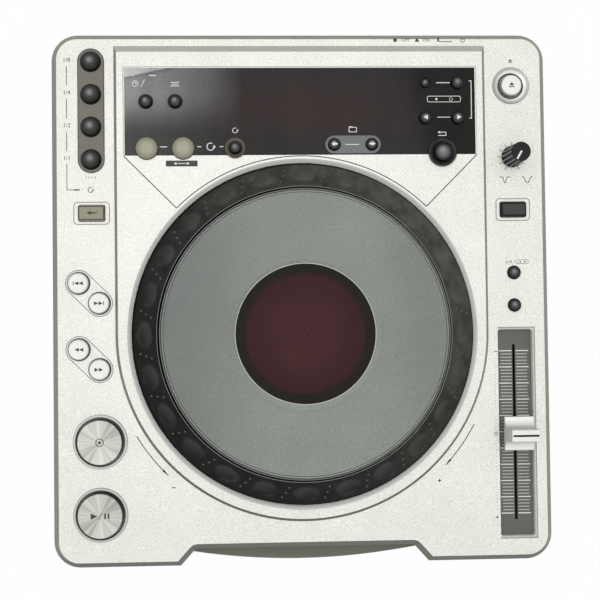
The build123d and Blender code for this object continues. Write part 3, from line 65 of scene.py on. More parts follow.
# places on the deck: millimetres to the right, to the back, and above the plate
JOG = (0.0, -22.0)
ORIGIN = Vector(JOINTS["jog_turn"]["pos_m"]) - BACK * (JOG[1] * MM)
LOOPS = [(-128.0, 144.9 - 19.95 * row) for row in range(4)]
REVERSE_KEY = (-128.0, 52.4)
JOG_MODE_KEY = (130.6, 52.9)
TRACK_PAIR = ((-136.1, 9.8), (-123.7, -2.4))
SEARCH_PAIR = ((-136.1, -30.3), (-123.7, -42.5))
CUE = (-123.7, -86.2)
PLAY = (-123.7, -130.2)
EJECT = (130.6, 129.8)
KNOB = (130.6, 85.6)
RANGE_BUTTON = (130.6, 14.0)
LOCK_BUTTON = (130.6, -6.1)
FADER = (130.6, -84.3)
TIME_MODE = (-94.5, 120.0)
TEXT_MODE = (-76.7, 120.0)
POINT_IN = (-94.1, 91.3)
POINT_OUT = (-72.0, 91.3)
RELOOP = (-40.4, 91.3)
FOLDERS = ((20.2, 93.2), (43.3, 93.2))
DELETE = (76.7, 131.0)
MEMORY = (96.7, 131.0)
CALLS = ((76.7, 109.4), (96.7, 109.4))
QUICK_RETURN = (86.8, 88.0)
WINDOW = ((-107.5, 87.0), (107.5, 140.6))
DISPLAY_MIDDLE = (4.0, 116.0)
OUT_LABEL = (-73.0, 82.1)

# heights over the plate, and sizes that more than one step needs, in millimetres
PLATE_TOP = 0.0
BLOCK_TOP = 1.9
PLATTER_RING_TOP = 15.6
LENS_RING_TOP = 16.52
KNOB_TOP = 16.28
CAP_TOP = 15.0
BLOCK_RADIUS = 107.0
DIMPLES = 24
DIMPLE_PITCH = 360 / DIMPLES
DIMPLE_CENTRE = 95.4
DIMPLE_LENGTH, DIMPLE_WIDTH = 8.2, 5.0
JOG_FACETS = 180
KNOB_RIBS = 14
POINTER_ANGLE = 240.0
FLUSH = 0.03  # how far marks stand up that only change the colour

# the studio: lamps in metres, the camera's place on the deck in millimetres, its turns in degrees
WHITE = (1.0, 1.0, 1.0, 1.0)
SKY_TINT = (1.0, 0.995, 0.98, 1.0)
SOFTBOX_PLACE = (-0.02, 0.06, 1.15)
SOFTBOX_AIM = (0.0, 0.0, 0.1)
CAMERA_PLACE = (-41.5, -14.1)
CAMERA_TURNS = (("Z", -0.61), ("X", 1.13), ("Y", -1.70))
CAMERA_SHIFT = (0.07, 0.01)


def deck_point(x, y, height=0.0):
    """The point of the scene, in metres, for millimetres on the deck."""
    return ORIGIN + (ACROSS * x + BACK * y + UP * height) * MM


def deck_matrix(x=0.0, y=0.0, height=0.0):
    """Axes that lie in the deck, with their origin at a place on it."""
    turn = Matrix((ACROSS, BACK, UP)).transposed().to_4x4()
    return Matrix.Translation(deck_point(x, y, height)) @ turn


# ---------------------------------------------------------------- what a user may change


def colour_property(name, description, red, green, blue):
    return FloatVectorProperty(
        name=name,
        description=description,
        subtype="COLOR_GAMMA",
        size=3,
        min=0.0,
        max=1.0,
        default=(red / 255, green / 255, blue / 255),
    )


def length_property(name, description, millimetres):
    return FloatProperty(
        name=name,
        description=description,
        subtype="DISTANCE",
        unit="LENGTH",
        min=0.0,
        precision=5,
        default=millimetres * MM,
    )


class DISCPLAYER_PG_colours(bpy.types.PropertyGroup):
    """Colours of the player's finishes"""

    cover_silver: colour_property("Cover silver", "Paint of the top cover", 236, 236, 229)
    # colour of the painted shade on the cover's bevels and rim
    edge_shade_olive: colour_property("Edge olive", "Bevels and rim of the top cover", 124, 124, 106)
    case_charcoal: colour_property("Case charcoal", "Moulding of the bottom case", 62, 63, 62)
    bezel_grey: colour_property("Bezel grey", "Front bezel round the disc slot", 108, 110, 98)
    window_smoke: colour_property("Window smoke", "Display window", 30, 29, 27)
    # colour of the painted reflection over the window's left
    window_reflection: colour_property("Window sheen", "Pale haze over the window's left", 150, 152, 151)
    # colour of the painted glint along the edge of the window's painted reflection
    window_corner_reflection: colour_property("Window glint", "Haze in the window's corner", 196, 198, 195)
    display_red: colour_property("Display red", "Tint of the unlit display", 40, 26, 26)
    lens_maroon: colour_property("Lens maroon", "Middle of the jog lens", 66, 34, 37)
    lens_rim: colour_property("Lens rim", "Edge of the jog lens", 30, 27, 22)
    platter_grey: colour_property("Platter grey", "Coated plate on the jog", 124, 129, 124)
    ring_rubber: colour_property("Ring rubber", "Grip ring of the jog", 37, 37, 35)
    # colour of the painted highlights on the domed caps and on the knob's ribs
    painted_highlight_grey: colour_property("Worn grey", "Polished middle of the domed buttons", 168, 170, 175)
    dot_grey: colour_property("Dot grey", "Raised dots on the grip ring", 78, 79, 78)
    button_black: colour_property("Button black", "Small domed buttons", 62, 62, 64)
    loop_black: colour_property("Loop black", "Loop buttons", 55, 55, 53)
    button_white: colour_property("Button white", "Search and eject buttons", 240, 240, 238)
    return_grey: colour_property("Return grey", "Quick return button", 100, 104, 104)
    point_beige: colour_property("Point beige", "In and out buttons", 167, 166, 145)
    reverse_tan: colour_property("Reverse tan", "Reverse key", 150, 145, 127)
    transport_metal: colour_property("Transport metal", "Spun caps", 193, 196, 186)
    ring_silver: colour_property("Ring silver", "Rings round the buttons", 190, 191, 187)
    pod_olive: colour_property("Pod olive", "Plate behind the loop buttons", 120, 117, 107)
    pod_grey: colour_property("Pod grey", "Plate behind the folder buttons", 112, 115, 116)
    fader_grey: colour_property("Fader grey", "Floor of the fader's recess", 99, 102, 96)
    print_dark: colour_property("Dark print", "Marks on silver", 48, 48, 46)
    print_light: colour_property("Light print", "Marks on black", 226, 227, 224)
    board_green: colour_property("Board green", "Circuit boards", 36, 84, 56)
    zinc_steel: colour_property("Zinc steel", "Drive chassis and screws", 168, 170, 168)
    jack_red: colour_property("Jack red", "Ring of the right jack", 170, 32, 30)
    jack_orange: colour_property("Jack orange", "Ring of the digital jack", 214, 112, 30)
    # colour of the painted shade in the gaps round the caps, and of the line on the fader's cap
    gap_shade_and_line_black: colour_property("Gap black", "Dark gaps round the caps", 4, 4, 4)
    jack_black: colour_property("Jack black", "Sockets and feet", 30, 30, 31)


class DISCPLAYER_PG_sizes(bpy.types.PropertyGroup):
    """Sizes of the player's printed and fitted details"""

    print_height: length_property("Print height", "How far ink stands up", 0.05)
    fine_line: length_property("Fine line", "Width of the thin printed lines", 0.42)
    seam_line: length_property("Seam line", "Width of the lines cut in the cover", 0.6)
    scale_pitch: length_property("Scale pitch", "Step of the fader's scale", 2.0)
    ring_dot: length_property("Ring dot", "Radius of the raised dots on the grip ring", 0.75)
    paint_grain: length_property("Paint grain", "Size of the flakes in the silver paint", 0.8)


class DISCPLAYER_PG_studio(bpy.types.PropertyGroup):
    """Lamps and camera"""

    lens: FloatProperty(
        name="Lens",
        description="Focal length of the camera",
        subtype="DISTANCE_CAMERA",
        unit="CAMERA",
        default=46.013,
    )
    camera_height: length_property("Camera height", "Camera above the deck", 467.6)
    softbox_power: FloatProperty(
        name="Softbox power",
        description="Power of the softbox",
        subtype="POWER",
        unit="POWER",
        default=3.95,
    )
    sky_strength: FloatProperty(
        name="Sky strength",
        description="Light that comes from all round",
        default=0.72,
    )


GROUPS = {
    "disc_player_colours": DISCPLAYER_PG_colours,
    "disc_player_sizes": DISCPLAYER_PG_sizes,
    "disc_player_studio": DISCPLAYER_PG_studio,
}


def sizes():
    return bpy.context.scene.disc_player_sizes


def studio():
    return bpy.context.scene.disc_player_studio


def linear(colour):
    """Light values of a colour, given by its name above or as shares of red, green and blue."""
    if isinstance(colour, str):
        colour = getattr(bpy.context.scene.disc_player_colours, colour)
    return [*(c / 12.92 if c <= 0.04045 else ((c + 0.055) / 1.055) ** 2.4 for c in colour), 1.0]


# ---------------------------------------------------------------- finishes

class Nodes:
    """A tree of shader nodes, with short ways to add to it."""

    def __init__(self, holder):
        holder.use_nodes = True
        self.tree = holder.node_tree
        self.tree.nodes.clear()

    def add(self, kind, inputs=None, **settings):
        node = self.tree.nodes.new(kind)
        for name, value in settings.items():
            setattr(node, name, value)
        for name, value in (inputs or {}).items():
            self.feed(node.inputs[name], value)
        return node

    def feed(self, socket, value):
        if isinstance(value, bpy.types.NodeSocket):
            self.tree.links.new(value, socket)
        else:
            socket.default_value = value

    def calc(self, operation, *values):
        return self.add("ShaderNodeMath", dict(enumerate(values)), operation=operation).outputs[0]

    def times(self, one, other):
        return self.calc("MULTIPLY", one, other)

    def parts(self, vector):
        return self.add("ShaderNodeSeparateXYZ", {"Vector": vector}).outputs

    def spread(self, value, low, high, to_low=0.0, to_high=1.0, smooth=False):
        """Maps a value from one range to another, held at its ends."""
        kind = "SMOOTHSTEP" if smooth else "LINEAR"
        inputs = {"Value": value, "From Min": low, "From Max": high, "To Min": to_low, "To Max": to_high}
        return self.add("ShaderNodeMapRange", inputs, interpolation_type=kind).outputs[0]

    def inside(self, value, edge, blur):
        """1 where a value is below an edge, fading to 0 over a blur."""
        return self.spread(value, edge - blur, edge + blur, 1.0, 0.0, smooth=True)

    def blend(self, factor, low, high):
        """One shader where the factor is 0, another where it is 1."""
        return self.add("ShaderNodeMixShader", {0: factor, 1: low, 2: high}).outputs[0]

    def seen(self):
        """1 for what is seen straight, in a gloss or through a pane, 0 for what only lights."""
        path = self.add("ShaderNodeLightPath").outputs
        seen = self.calc("MAXIMUM", path["Is Camera Ray"], path["Is Glossy Ray"])
        return self.calc("MAXIMUM", seen, path["Is Transmission Ray"])


class Finish(Nodes):
    """A finish made of shader nodes, from its base colour up to its relief."""

    def __init__(self, name, colour, roughness, metallic=0.0, **constants):
        self.material = bpy.data.materials.new(name)
        super().__init__(self.material)
        self.output = self.add("ShaderNodeOutputMaterial")
        self.surface = self.add("ShaderNodeBsdfPrincipled", {"Metallic": metallic})
        self.feed(self.output.inputs["Surface"], self.surface.outputs["BSDF"])
        for socket, value in constants.items():
            self.feed(self.surface.inputs[socket.replace("_", " ")], value)
        self.colour = linear(colour)
        self.roughness = roughness
        self.normal = None
        self.object_place = None

    def place(self):
        """The piece's own coordinates, in metres."""
        if self.object_place is None:
            self.object_place = self.add("ShaderNodeTexCoord").outputs["Object"]
        return self.object_place

    def on_deck(self, x, y):
        """Coordinates in the deck's axes about a place, in metres."""
        inputs = {"Vector": self.place(), "Location": deck_point(x, y), "Rotation": (SLOPE, 0, 0)}
        return self.add("ShaderNodeMapping", inputs, vector_type="TEXTURE").outputs[0]

    def length(self, across, back):
        """Length of the slanting side over two others."""
        return self.calc("SQRT", self.calc("ADD", self.times(across, across), self.times(back, back)))

    def radius(self, vector):
        """Distance from the upright axis of some coordinates, in metres."""
        return self.length(*self.parts(vector)[:2])

    def angle(self, vector):
        """Angle round the upright axis of some coordinates, in radians."""
        across, back, _ = self.parts(vector)
        return self.calc("ARCTAN2", back, across)

    def wave(self, value, length):
        """Sine of a distance, with its wave length in millimetres."""
        return self.calc("SINE", self.times(value, 2 * math.pi / (length * MM)))

    def noise(self, millimetres, detail=2.0, stretch=None, seed=0.0):
        vector = self.place()
        if stretch:
            vector = self.add("ShaderNodeMapping", {"Vector": vector, "Scale": stretch}).outputs[0]
        inputs = {"Vector": vector, "W": seed, "Scale": 1 / (millimetres * MM)}
        inputs |= {"Detail": detail, "Roughness": 0.55}
        return self.add("ShaderNodeTexNoise", inputs, noise_dimensions="4D").outputs["Fac"]

    def grain(self, millimetres, low, high, height, detail=2.0):
        """Fine noise that varies the colour and stands up a little, in millimetres."""
        noise = self.noise(millimetres, detail)
        self.vary(noise, low, high)
        self.relief(noise, height)
        return noise

    def near(self, place, millimetres):
        """1 within a distance of a place on the deck."""
        return self.inside(self.radius(self.on_deck(*place)), millimetres * MM, 0.2 * MM)

    def facing(self, direction, low, high):
        """0 to 1 as the surface turns towards a direction."""
        normal = self.add("ShaderNodeTexCoord").outputs["Normal"]
        node = self.add("ShaderNodeVectorMath", {0: normal, 1: direction}, operation="DOT_PRODUCT")
        return self.spread(node.outputs["Value"], low, high)

    def steep(self, low=0.86, high=0.985):
        """1 on what leans away from the deck, 0 on what lies in it."""
        return self.calc("SUBTRACT", 1.0, self.facing(UP, low, high))

    def scale(self, factor):
        """Multiplies the colour by a factor."""
        colour = self.colour if isinstance(self.colour, bpy.types.NodeSocket) else self.colour[:3]
        node = self.add("ShaderNodeVectorMath", {0: colour, "Scale": factor}, operation="SCALE")
        self.colour = node.outputs["Vector"]

    def vary(self, factor, low, high):
        """Multiplies the colour by a factor mapped from low to high."""
        self.scale(self.spread(factor, 0.3, 0.7, low, high))

    def shade(self, factor, share):
        """Darkens the colour to a share of itself where the factor is 1."""
        self.scale(self.spread(factor, 0.0, 1.0, 1.0, share))

    def tint(self, factor, colour):
        """Mixes another colour in where the factor is 1."""
        inputs = {"Factor": factor, 6: self.colour, 7: linear(colour)}
        self.colour = self.add("ShaderNodeMix", inputs, data_type="RGBA").outputs[2]

    def rub(self, factor, low, high):
        """Roughness that follows a factor."""
        self.roughness = self.spread(factor, 0.3, 0.7, low, high)

    def relief(self, height, millimetres):
        """Adds bump; a height of 1 stands this far up."""
        self.normal = self.add(
            "ShaderNodeBump", {"Strength": 1.0, "Distance": millimetres * MM, "Height": height}
        ).outputs["Normal"]

    def done(self):
        self.feed(self.surface.inputs["Base Color"], self.colour)
        self.feed(self.surface.inputs["Roughness"], self.roughness)
        if self.normal is not None:
            self.feed(self.surface.inputs["Normal"], self.normal)
        return self.material


FINISHES = {}


def finish(make):
    """Makes each finish once, the first time that a piece asks for it."""

    def given(*arguments):
        key = (make.__name__, *arguments)
        if key not in FINISHES:
            FINISHES[key] = make(*arguments)
        return FINISHES[key]

    return given


@finish
def silver_paint():
    """Metal flake paint on the cover; its edges and bevels are darker by painted shade, most where they face
    the front, and the bevel round the jog is paler by painted light.
    """
    paint = Finish("silver_paint", "cover_silver", 0.42, 0.12)
    flake = paint.grain(sizes().paint_grain / MM, 0.80, 1.13, 0.012, 1.5)
    paint.vary(paint.noise(26, 2, seed=3.0), 0.965, 1.03)
    outside = paint.spread(paint.radius(paint.on_deck(*JOG)), BLOCK_RADIUS * MM, (BLOCK_RADIUS + 0.3) * MM)
    # painted light: the steep bevel round the jog's opening is tinted paler
    painted_lip_light = paint.times(paint.steep(), paint.calc("SUBTRACT", 1.0, outside))
    paint.tint(painted_lip_light, (1.0, 1.0, 0.985))
    # painted shade: the outer bevels are darkened and tinted olive, darker still where they face the front
    edge = paint.times(paint.times(paint.steep(), outside), paint.facing(UP, 0.1, 0.3))
    paint.shade(edge, 0.30)
    paint.tint(paint.times(edge, 0.35), "edge_shade_olive")
    paint.shade(paint.times(edge, paint.facing(-BACK, 0.2, 0.6)), 0.5)
    paint.rub(flake, 0.36, 0.50)
    return paint.done()


@finish
def moulded(name, colour, roughness, grain):
    """Moulded plastic with a fine spark-eroded grain."""
    plastic = Finish(name, colour, roughness, Specular_IOR_Level=0.22)
    plastic.grain(grain, 0.93, 1.06, 0.02, 3)
    cloud = plastic.noise(14, 3, seed=5.0)
    plastic.vary(cloud, 0.96, 1.04)
    plastic.rub(cloud, roughness - 0.05, roughness + 0.06)
    return plastic.done()


# near black for painted shade in gaps, and for the fader cap's line
def gap_shade_and_line_black():
    return moulded("gap_shade_and_line_black", "gap_shade_and_line_black", 0.6, 0.4)


def groove_grey():
    return moulded("groove_grey", "platter_grey", 0.5, 0.4)


@finish
def smoked_window():
    """Smoked acrylic over the display, with the unlit display behind its middle and a painted reflection over
    its left.
    """
    window = Finish("smoked_window", "window_smoke", 0.1, Specular_IOR_Level=0.11)
    across, back, _ = window.parts(window.on_deck(*DISPLAY_MIDDLE))
    wide = window.inside(window.calc("ABSOLUTE", across), 56 * MM, 26 * MM)
    deep = window.inside(window.calc("ABSOLUTE", back), 15 * MM, 10 * MM)
    window.tint(window.times(wide, deep), "display_red")
    # a painted reflection: a slanting pale sheen that starts six millimetres below the window's back left
    # corner, with a painted glint above its slanting edge and a dark line just below that edge
    right, up, _ = window.parts(window.on_deck(WINDOW[0][0], WINDOW[1][1] - 6.0))
    side = window.spread(right, 0.0, 72 * MM, 0.86, 0.0)
    rise = window.spread(up, -35 * MM, -7 * MM, 0.13, 1.0, smooth=True)
    window.tint(window.times(side, rise), "window_reflection")
    slant = window.calc("SUBTRACT", up, window.times(right, 0.215))
    painted_dark_edge = window.spread(slant, -2.2 * MM, -0.4 * MM, 0.0, 0.3)
    window.tint(window.times(window.inside(slant, 0.0, 0.5 * MM), painted_dark_edge), "window_smoke")
    window.tint(window.times(window.spread(slant, 0.0, 0.8 * MM), side), "window_corner_reflection")
    haze = window.noise(22, 3, (1.0, 0.35, 1.0), seed=2.0)
    window.vary(window.noise(1.2, 3), 0.85, 1.2)
    window.vary(haze, 0.8, 1.3)
    window.rub(haze, 0.07, 0.16)
    window.relief(window.noise(40, 1, seed=8.0), 0.02)
    return window.done()


@finish
def smoked_lens():
    """Smoked lens of the jog: a maroon middle with faint circles inside a dark rim."""
    lens = Finish("smoked_lens", "lens_maroon", 0.16, Specular_IOR_Level=0.05)
    radius = lens.radius(lens.on_deck(*JOG))
    circles = lens.times(lens.wave(radius, 2.6), lens.inside(radius, 11 * MM, 8 * MM))
    lens.vary(lens.calc("ADD", lens.times(circles, 0.1), 0.5), 0.75, 1.25)
    cloud = lens.noise(17, 3, seed=4.0)
    lens.vary(lens.noise(0.8, 2), 0.88, 1.12)
    lens.vary(cloud, 0.9, 1.1)
    lens.shade(lens.spread(radius, 14 * MM, 34 * MM, smooth=True), 0.72)
    lens.tint(lens.spread(radius, 33.8 * MM, 37.0 * MM, smooth=True), "lens_rim")
    lens.rub(cloud, 0.12, 0.22)
    return lens.done()


@finish
def coated_platter():
    """Grey coating of the jog's platter, with a fine even grain, and painted light and shade: darker at its
    left and right sides and at its edge, paler towards the front.
    """
    coat = Finish("coated_platter", "platter_grey", 0.5, 0.15)
    grain = coat.grain(0.75, 0.74, 1.24, 0.02)
    coat.vary(coat.noise(30, 2, seed=7.0), 0.95, 1.05)
    across, back, _ = coat.parts(coat.on_deck(*JOG))
    # painted shade and light: darker on the left, paler towards the front, and darker at both sides than in
    # the middle
    coat.vary(coat.spread(across, -85 * MM, 60 * MM, 0.3, 0.7), 0.86, 1.04)
    coat.vary(coat.spread(back, -85 * MM, 0.0, 0.3, 0.7), 1.15, 0.99)
    coat.shade(coat.spread(coat.calc("ABSOLUTE", across), 20 * MM, 80 * MM, smooth=True), 0.82)
    # painted shade on the platter's steep edge
    coat.shade(coat.steep(), 0.45)
    coat.rub(grain, 0.42, 0.56)
    return coat.done()


@finish
def grip_rubber():
    """Rubber of the jog's grip ring, with painted highlights on the rims of its dimples and inside one side
    of each, a painted reflection that lightens its right, painted shade that darkens its front, and a
    darkened outer edge.
    """
    rubber = Finish("grip_rubber", "ring_rubber", 0.6, Specular_IOR_Level=0.12)
    spot = rubber.on_deck(*JOG)
    radius = rubber.radius(spot)
    half_pitch = math.radians(DIMPLE_PITCH / 2)
    step = rubber.calc("WRAP", rubber.angle(spot), half_pitch, -half_pitch)
    along = rubber.calc("DIVIDE", rubber.times(step, radius), DIMPLE_LENGTH * MM)
    offset = rubber.calc("SUBTRACT", radius, DIMPLE_CENTRE * MM)
    outward = rubber.calc("DIVIDE", offset, DIMPLE_WIDTH * MM)
    reach = rubber.length(along, outward)
    rim = rubber.inside(rubber.calc("ABSOLUTE", rubber.calc("SUBTRACT", reach, 0.86)), 0.04, 0.26)
    smear = rubber.noise(9, 4, seed=1.0)
    across, back, _ = rubber.parts(spot)
    # painted reflection and shade: the ring is lighter to the right and darker towards the front
    rubber.vary(rubber.spread(across, -100 * MM, 100 * MM, 0.3, 0.7), 0.72, 3.2)
    rubber.vary(rubber.spread(back, -100 * MM, 100 * MM, 0.3, 0.7), 0.3, 1.2)
    rubber.vary(smear, 0.55, 1.6)
    # painted highlights in soft patches on the rims of the dimples
    rubber.tint(rubber.times(rim, rubber.spread(smear, 0.4, 0.64, 0.03, 0.3)), (0.4, 0.4, 0.39))
    # painted highlight inside one side of each dimple
    bowl = rubber.inside(reach, 0.8, 0.22)
    painted_highlight_side = rubber.spread(rubber.calc("ADD", outward, rubber.times(along, 0.5)), 0.7, -0.7, 0.0, 0.2)
    rubber.tint(rubber.times(bowl, painted_highlight_side), (0.46, 0.46, 0.45))
    rubber.shade(rubber.spread(radius, 101.6 * MM, 102.2 * MM), 0.2)
    rubber.grain(0.5, 0.88, 1.12, 0.04, 3)
    rubber.rub(smear, 0.5, 0.72)
    return rubber.done()


@finish
def domed_plastic(name, colour, x, y, radius, edge_shade_share):
    """Glossy cap of a button, paler at its middle than at its edge: painted shade darkens its edge, and on
    all but the beige caps a painted highlight lies near its middle.
    """
    cap = Finish(name, colour, 0.3, Specular_IOR_Level=0.2)
    reach = cap.radius(cap.on_deck(x, y))
    # painted shade towards the cap's edge
    cap.shade(cap.spread(reach, radius * 0.4 * MM, radius * 0.92 * MM, smooth=True), edge_shade_share)
    if colour != "point_beige":
        # a painted highlight a little left of and behind the middle
        painted_highlight = cap.radius(cap.on_deck(x - radius * 0.1, y + radius * 0.15))
        painted_highlight = cap.inside(painted_highlight, radius * 0.26 * MM, radius * 0.34 * MM)
        cap.tint(cap.times(painted_highlight, 0.6), "painted_highlight_grey")
    cap.grain(0.35, 0.94, 1.06, 0.008)
    cap.rub(cap.noise(4, 2, seed=2.0), 0.28, 0.42)
    return cap.done()


@finish
def ribbed_rubber(x, y):
    """Soft black rubber of the knob, with painted highlights along the crests of its ribs."""
    rubber = Finish("ribbed_rubber", "ring_rubber", 0.5, Specular_IOR_Level=0.12)
    spot = rubber.on_deck(x, y)
    crest_highlight = rubber.calc("COSINE", rubber.times(rubber.angle(spot), KNOB_RIBS))
    side = rubber.spread(rubber.radius(spot), 5.75 * MM, 5.9 * MM)
    # painted highlight along the rib crests
    rubber.tint(rubber.times(rubber.spread(crest_highlight, 0.45, 0.95, 0.0, 0.85), side), "painted_highlight_grey")
    rubber.grain(0.5, 0.85, 1.2, 0.02)
    return rubber.done()


@finish
def white_plastic(x, y, radius):
    """White button cap with a soft grey edge and sloping sides, both greyed by painted shade."""
    cap = Finish("white_plastic", "button_white", 0.38)
    reach = cap.radius(cap.on_deck(x, y))
    # painted shade at the cap's edge and on its steep sides
    cap.shade(cap.spread(reach, radius * 0.80 * MM, radius * 1.0 * MM, smooth=True), 0.72)
    cap.shade(cap.steep(0.3, 0.9), 0.4)
    cap.grain(0.5, 0.98, 1.02, 0.006)
    cap.rub(cap.noise(5, 2), 0.32, 0.45)
    return cap.done()


@finish
def spun_metal(x, y, radius):
    """Spun cap of the cue and play buttons: fine turned rings with fans of light across them."""
    metal = Finish("spun_metal", "transport_metal", 0.34, 0.35, Anisotropic=0.6)
    spot = metal.on_deck(x, y)
    reach = metal.radius(spot)
    twice = metal.times(metal.angle(spot), 2.0)
    circle = {0: metal.calc("COSINE", twice), 1: metal.calc("SINE", twice)}
    vector = metal.add("ShaderNodeCombineXYZ", circle).outputs[0]
    fans = metal.add(
        "ShaderNodeTexNoise", {"Vector": vector, "Scale": 1.6, "Detail": 3.0}, noise_dimensions="2D"
    ).outputs["Fac"]
    # painted reflection: the fans lighten and darken the cap round its middle
    metal.vary(fans, 0.68, 1.22)
    groove = metal.calc("ADD", metal.times(metal.wave(reach, 0.4), 0.2), 0.5)
    metal.vary(groove, 0.97, 1.03)
    # painted shade at the cap's outer edge and on its steep sides
    metal.shade(metal.spread(reach, radius * 0.955 * MM, radius * 0.985 * MM, smooth=True), 0.22)
    metal.shade(metal.steep(0.2, 0.8), 0.3)
    metal.relief(groove, 0.006)
    metal.rub(fans, 0.28, 0.4)
    return metal.done()


@finish
def ring_metal():
    """Trim rings: silver, but bronze at the reloop button and near black at the quick return."""
    metal = Finish("ring_metal", "ring_silver", 0.32, 0.3)
    metal.tint(metal.near(RELOOP, 9), (0.42, 0.39, 0.34))
    metal.tint(metal.near(QUICK_RETURN, 11), (0.2, 0.2, 0.19))
    metal.tint(metal.near(EJECT, 9.6), (0.97, 0.97, 0.95))
    grain = metal.grain(0.3, 0.95, 1.05, 0.006)
    # painted shade on the rings' steep faces
    metal.shade(metal.steep(0.55, 0.97), 0.62)
    metal.rub(grain, 0.26, 0.4)
    return metal.done()


@finish
def ink(name, colour):
    """Screen-printed ink, slightly thin in places."""
    film = Finish(name, colour, 0.55)
    film.vary(film.noise(0.7, 2), 0.9, 1.1)
    film.relief(film.noise(0.2, 2), 0.004)
    return film.done()


def dark_print():
    return ink("dark_ink", "print_dark")


def light_print():
    return ink("light_ink", "print_light")


@finish
def sheet_metal(name, colour):
    """Plated sheet steel with long faint rolling marks."""
    steel = Finish(name, colour, 0.36, 0.75)
    rolled = steel.noise(1.2, 3, (0.08, 1.0, 1.0))
    bloom = steel.noise(12, 3, seed=6.0)
    steel.vary(rolled, 0.93, 1.05)
    steel.vary(bloom, 0.92, 1.06)
    steel.rub(bloom, 0.28, 0.46)
    steel.relief(rolled, 0.01)
    return steel.done()


@finish
def circuit_board():
    """Solder mask with its tracks a little raised."""
    board = Finish("circuit_board", "board_green", 0.4)
    cells = {"Vector": board.place(), "Scale": 1 / (3.5 * MM)}
    edges = board.add("ShaderNodeTexVoronoi", cells, distance="CHEBYCHEV").outputs["Distance"]
    tracks = board.spread(edges, 0.28, 0.34)
    board.vary(board.spread(tracks, 0, 1, 0.3, 0.7), 1.0, 1.35)
    board.vary(board.noise(0.6, 2), 0.92, 1.08)
    board.relief(tracks, 0.03)
    return board.done()


# ---------------------------------------------------------------- surfaces that marks lie on

SURFACES = {}


def surface_height(node, x, y):
    """Height of a node's upper surface over the plate at a place on the deck, in millimetres.

    A number stands for a level that is known."""
    if not isinstance(node, str):
        return node
    if node not in SURFACES:
        mesh = frame["nodes"][node].data
        SURFACES[node] = BVHTree.FromPolygons(
            [vertex.co for vertex in mesh.vertices], [polygon.vertices for polygon in mesh.polygons]
        )
    start = 80.0
    distance = SURFACES[node].ray_cast(deck_point(x, y, start), -UP)[3]
    if distance is None:
        raise RuntimeError(f"{node} has no surface at {x:.1f}, {y:.1f}")
    return start - distance / MM


# ---------------------------------------------------------------- outlines of the marks


def patch(points):
    return ("patch", list(points))


def band(outer, inner):
    return ("band", list(outer), list(inner))


def turned_patch(x, y, corners, degrees):
    """A patch whose corners are given about a place, then turned."""
    c, s = math.cos(math.radians(degrees)), math.sin(math.radians(degrees))
    return patch((x + (a * c - b * s), y + (a * s + b * c)) for a, b in corners)


def bar(x, y, length, width, degrees=0.0):
    a, b = length / 2, width / 2
    return turned_patch(x, y, ((-a, -b), (a, -b), (a, b), (-a, b)), degrees)


def triangle(x, y, length, width, degrees):
    """A triangle that points along an angle."""
    a, b = length / 2, width / 2
    return turned_patch(x, y, ((a, 0), (-a, b), (-a, -b)), degrees)


def arrow(x, y, length, width, facing):
    """A triangle that points to the right, or to the left where facing is -1."""
    return triangle(x, y, length, width, 90 - facing * 90)


def plus_sign(x, y, size, line):
    return [bar(x, y, size, line), bar(x, y, line, size)]


def polar(x, y, radius, degrees):
    """The place at a distance and an angle from another."""
    return x + radius * math.cos(math.radians(degrees)), y + radius * math.sin(math.radians(degrees))


def arc_points(x, y, radius, start, end, count=24):
    """Places along an arc, both its ends included."""
    return [polar(x, y, radius, start + (end - start) * step / count) for step in range(count + 1)]


def circle_points(x, y, radius, count):
    return arc_points(x, y, radius, 0, 360, count)[:-1]


def disc(x, y, radius, count):
    return patch(circle_points(x, y, radius, count))


def ring(x, y, outer, inner, count):
    return band(circle_points(x, y, outer, count), circle_points(x, y, inner, count))


def rounded_points(x, y, width, depth, corner):
    a, b = width / 2 - corner, depth / 2 - corner
    middles = ((x + a, y + b), (x - a, y + b), (x - a, y - b), (x + a, y - b))
    return [
        point
        for quarter, middle in enumerate(middles)
        for point in arc_points(*middle, corner, 90 * quarter, 90 * quarter + 90, 6)
    ]


def rounded_frame(x, y, width, depth, corner, line):
    inner = max(corner - line, 0.05)
    return band(
        rounded_points(x, y, width, depth, corner),
        rounded_points(x, y, width - 2 * line, depth - 2 * line, inner),
    )


def pair_frame(pair, radius, line):
    """A loop round two places, straight along their common sides."""
    (ax, ay), (bx, by) = pair
    lean = math.degrees(math.atan2(by - ay, bx - ax))
    outer, inner = (
        arc_points(bx, by, reach, lean - 90, lean + 90) + arc_points(ax, ay, reach, lean + 90, lean + 270)
        for reach in (radius, radius - line)
    )
    return band(outer, inner)


def stroke(points, width):
    """A line of even width through some points."""
    left, right = [], []
    for index, (x, y) in enumerate(points):
        before = points[max(index - 1, 0)]
        after = points[min(index + 1, len(points) - 1)]
        first = Vector((x - before[0], y - before[1]))
        second = Vector((after[0] - x, after[1] - y))
        first = (first if first.length else second).normalized()
        second = (second if second.length else first).normalized()
        middle = (first + second).normalized()
        side = Vector((-middle.y, middle.x))
        reach = width / 2 / max(side.dot(Vector((-first.y, first.x))), 0.4)
        left.append((x + side.x * reach, y + side.y * reach))
        right.append((x - side.x * reach, y - side.y * reach))
    return patch(left + right[::-1])


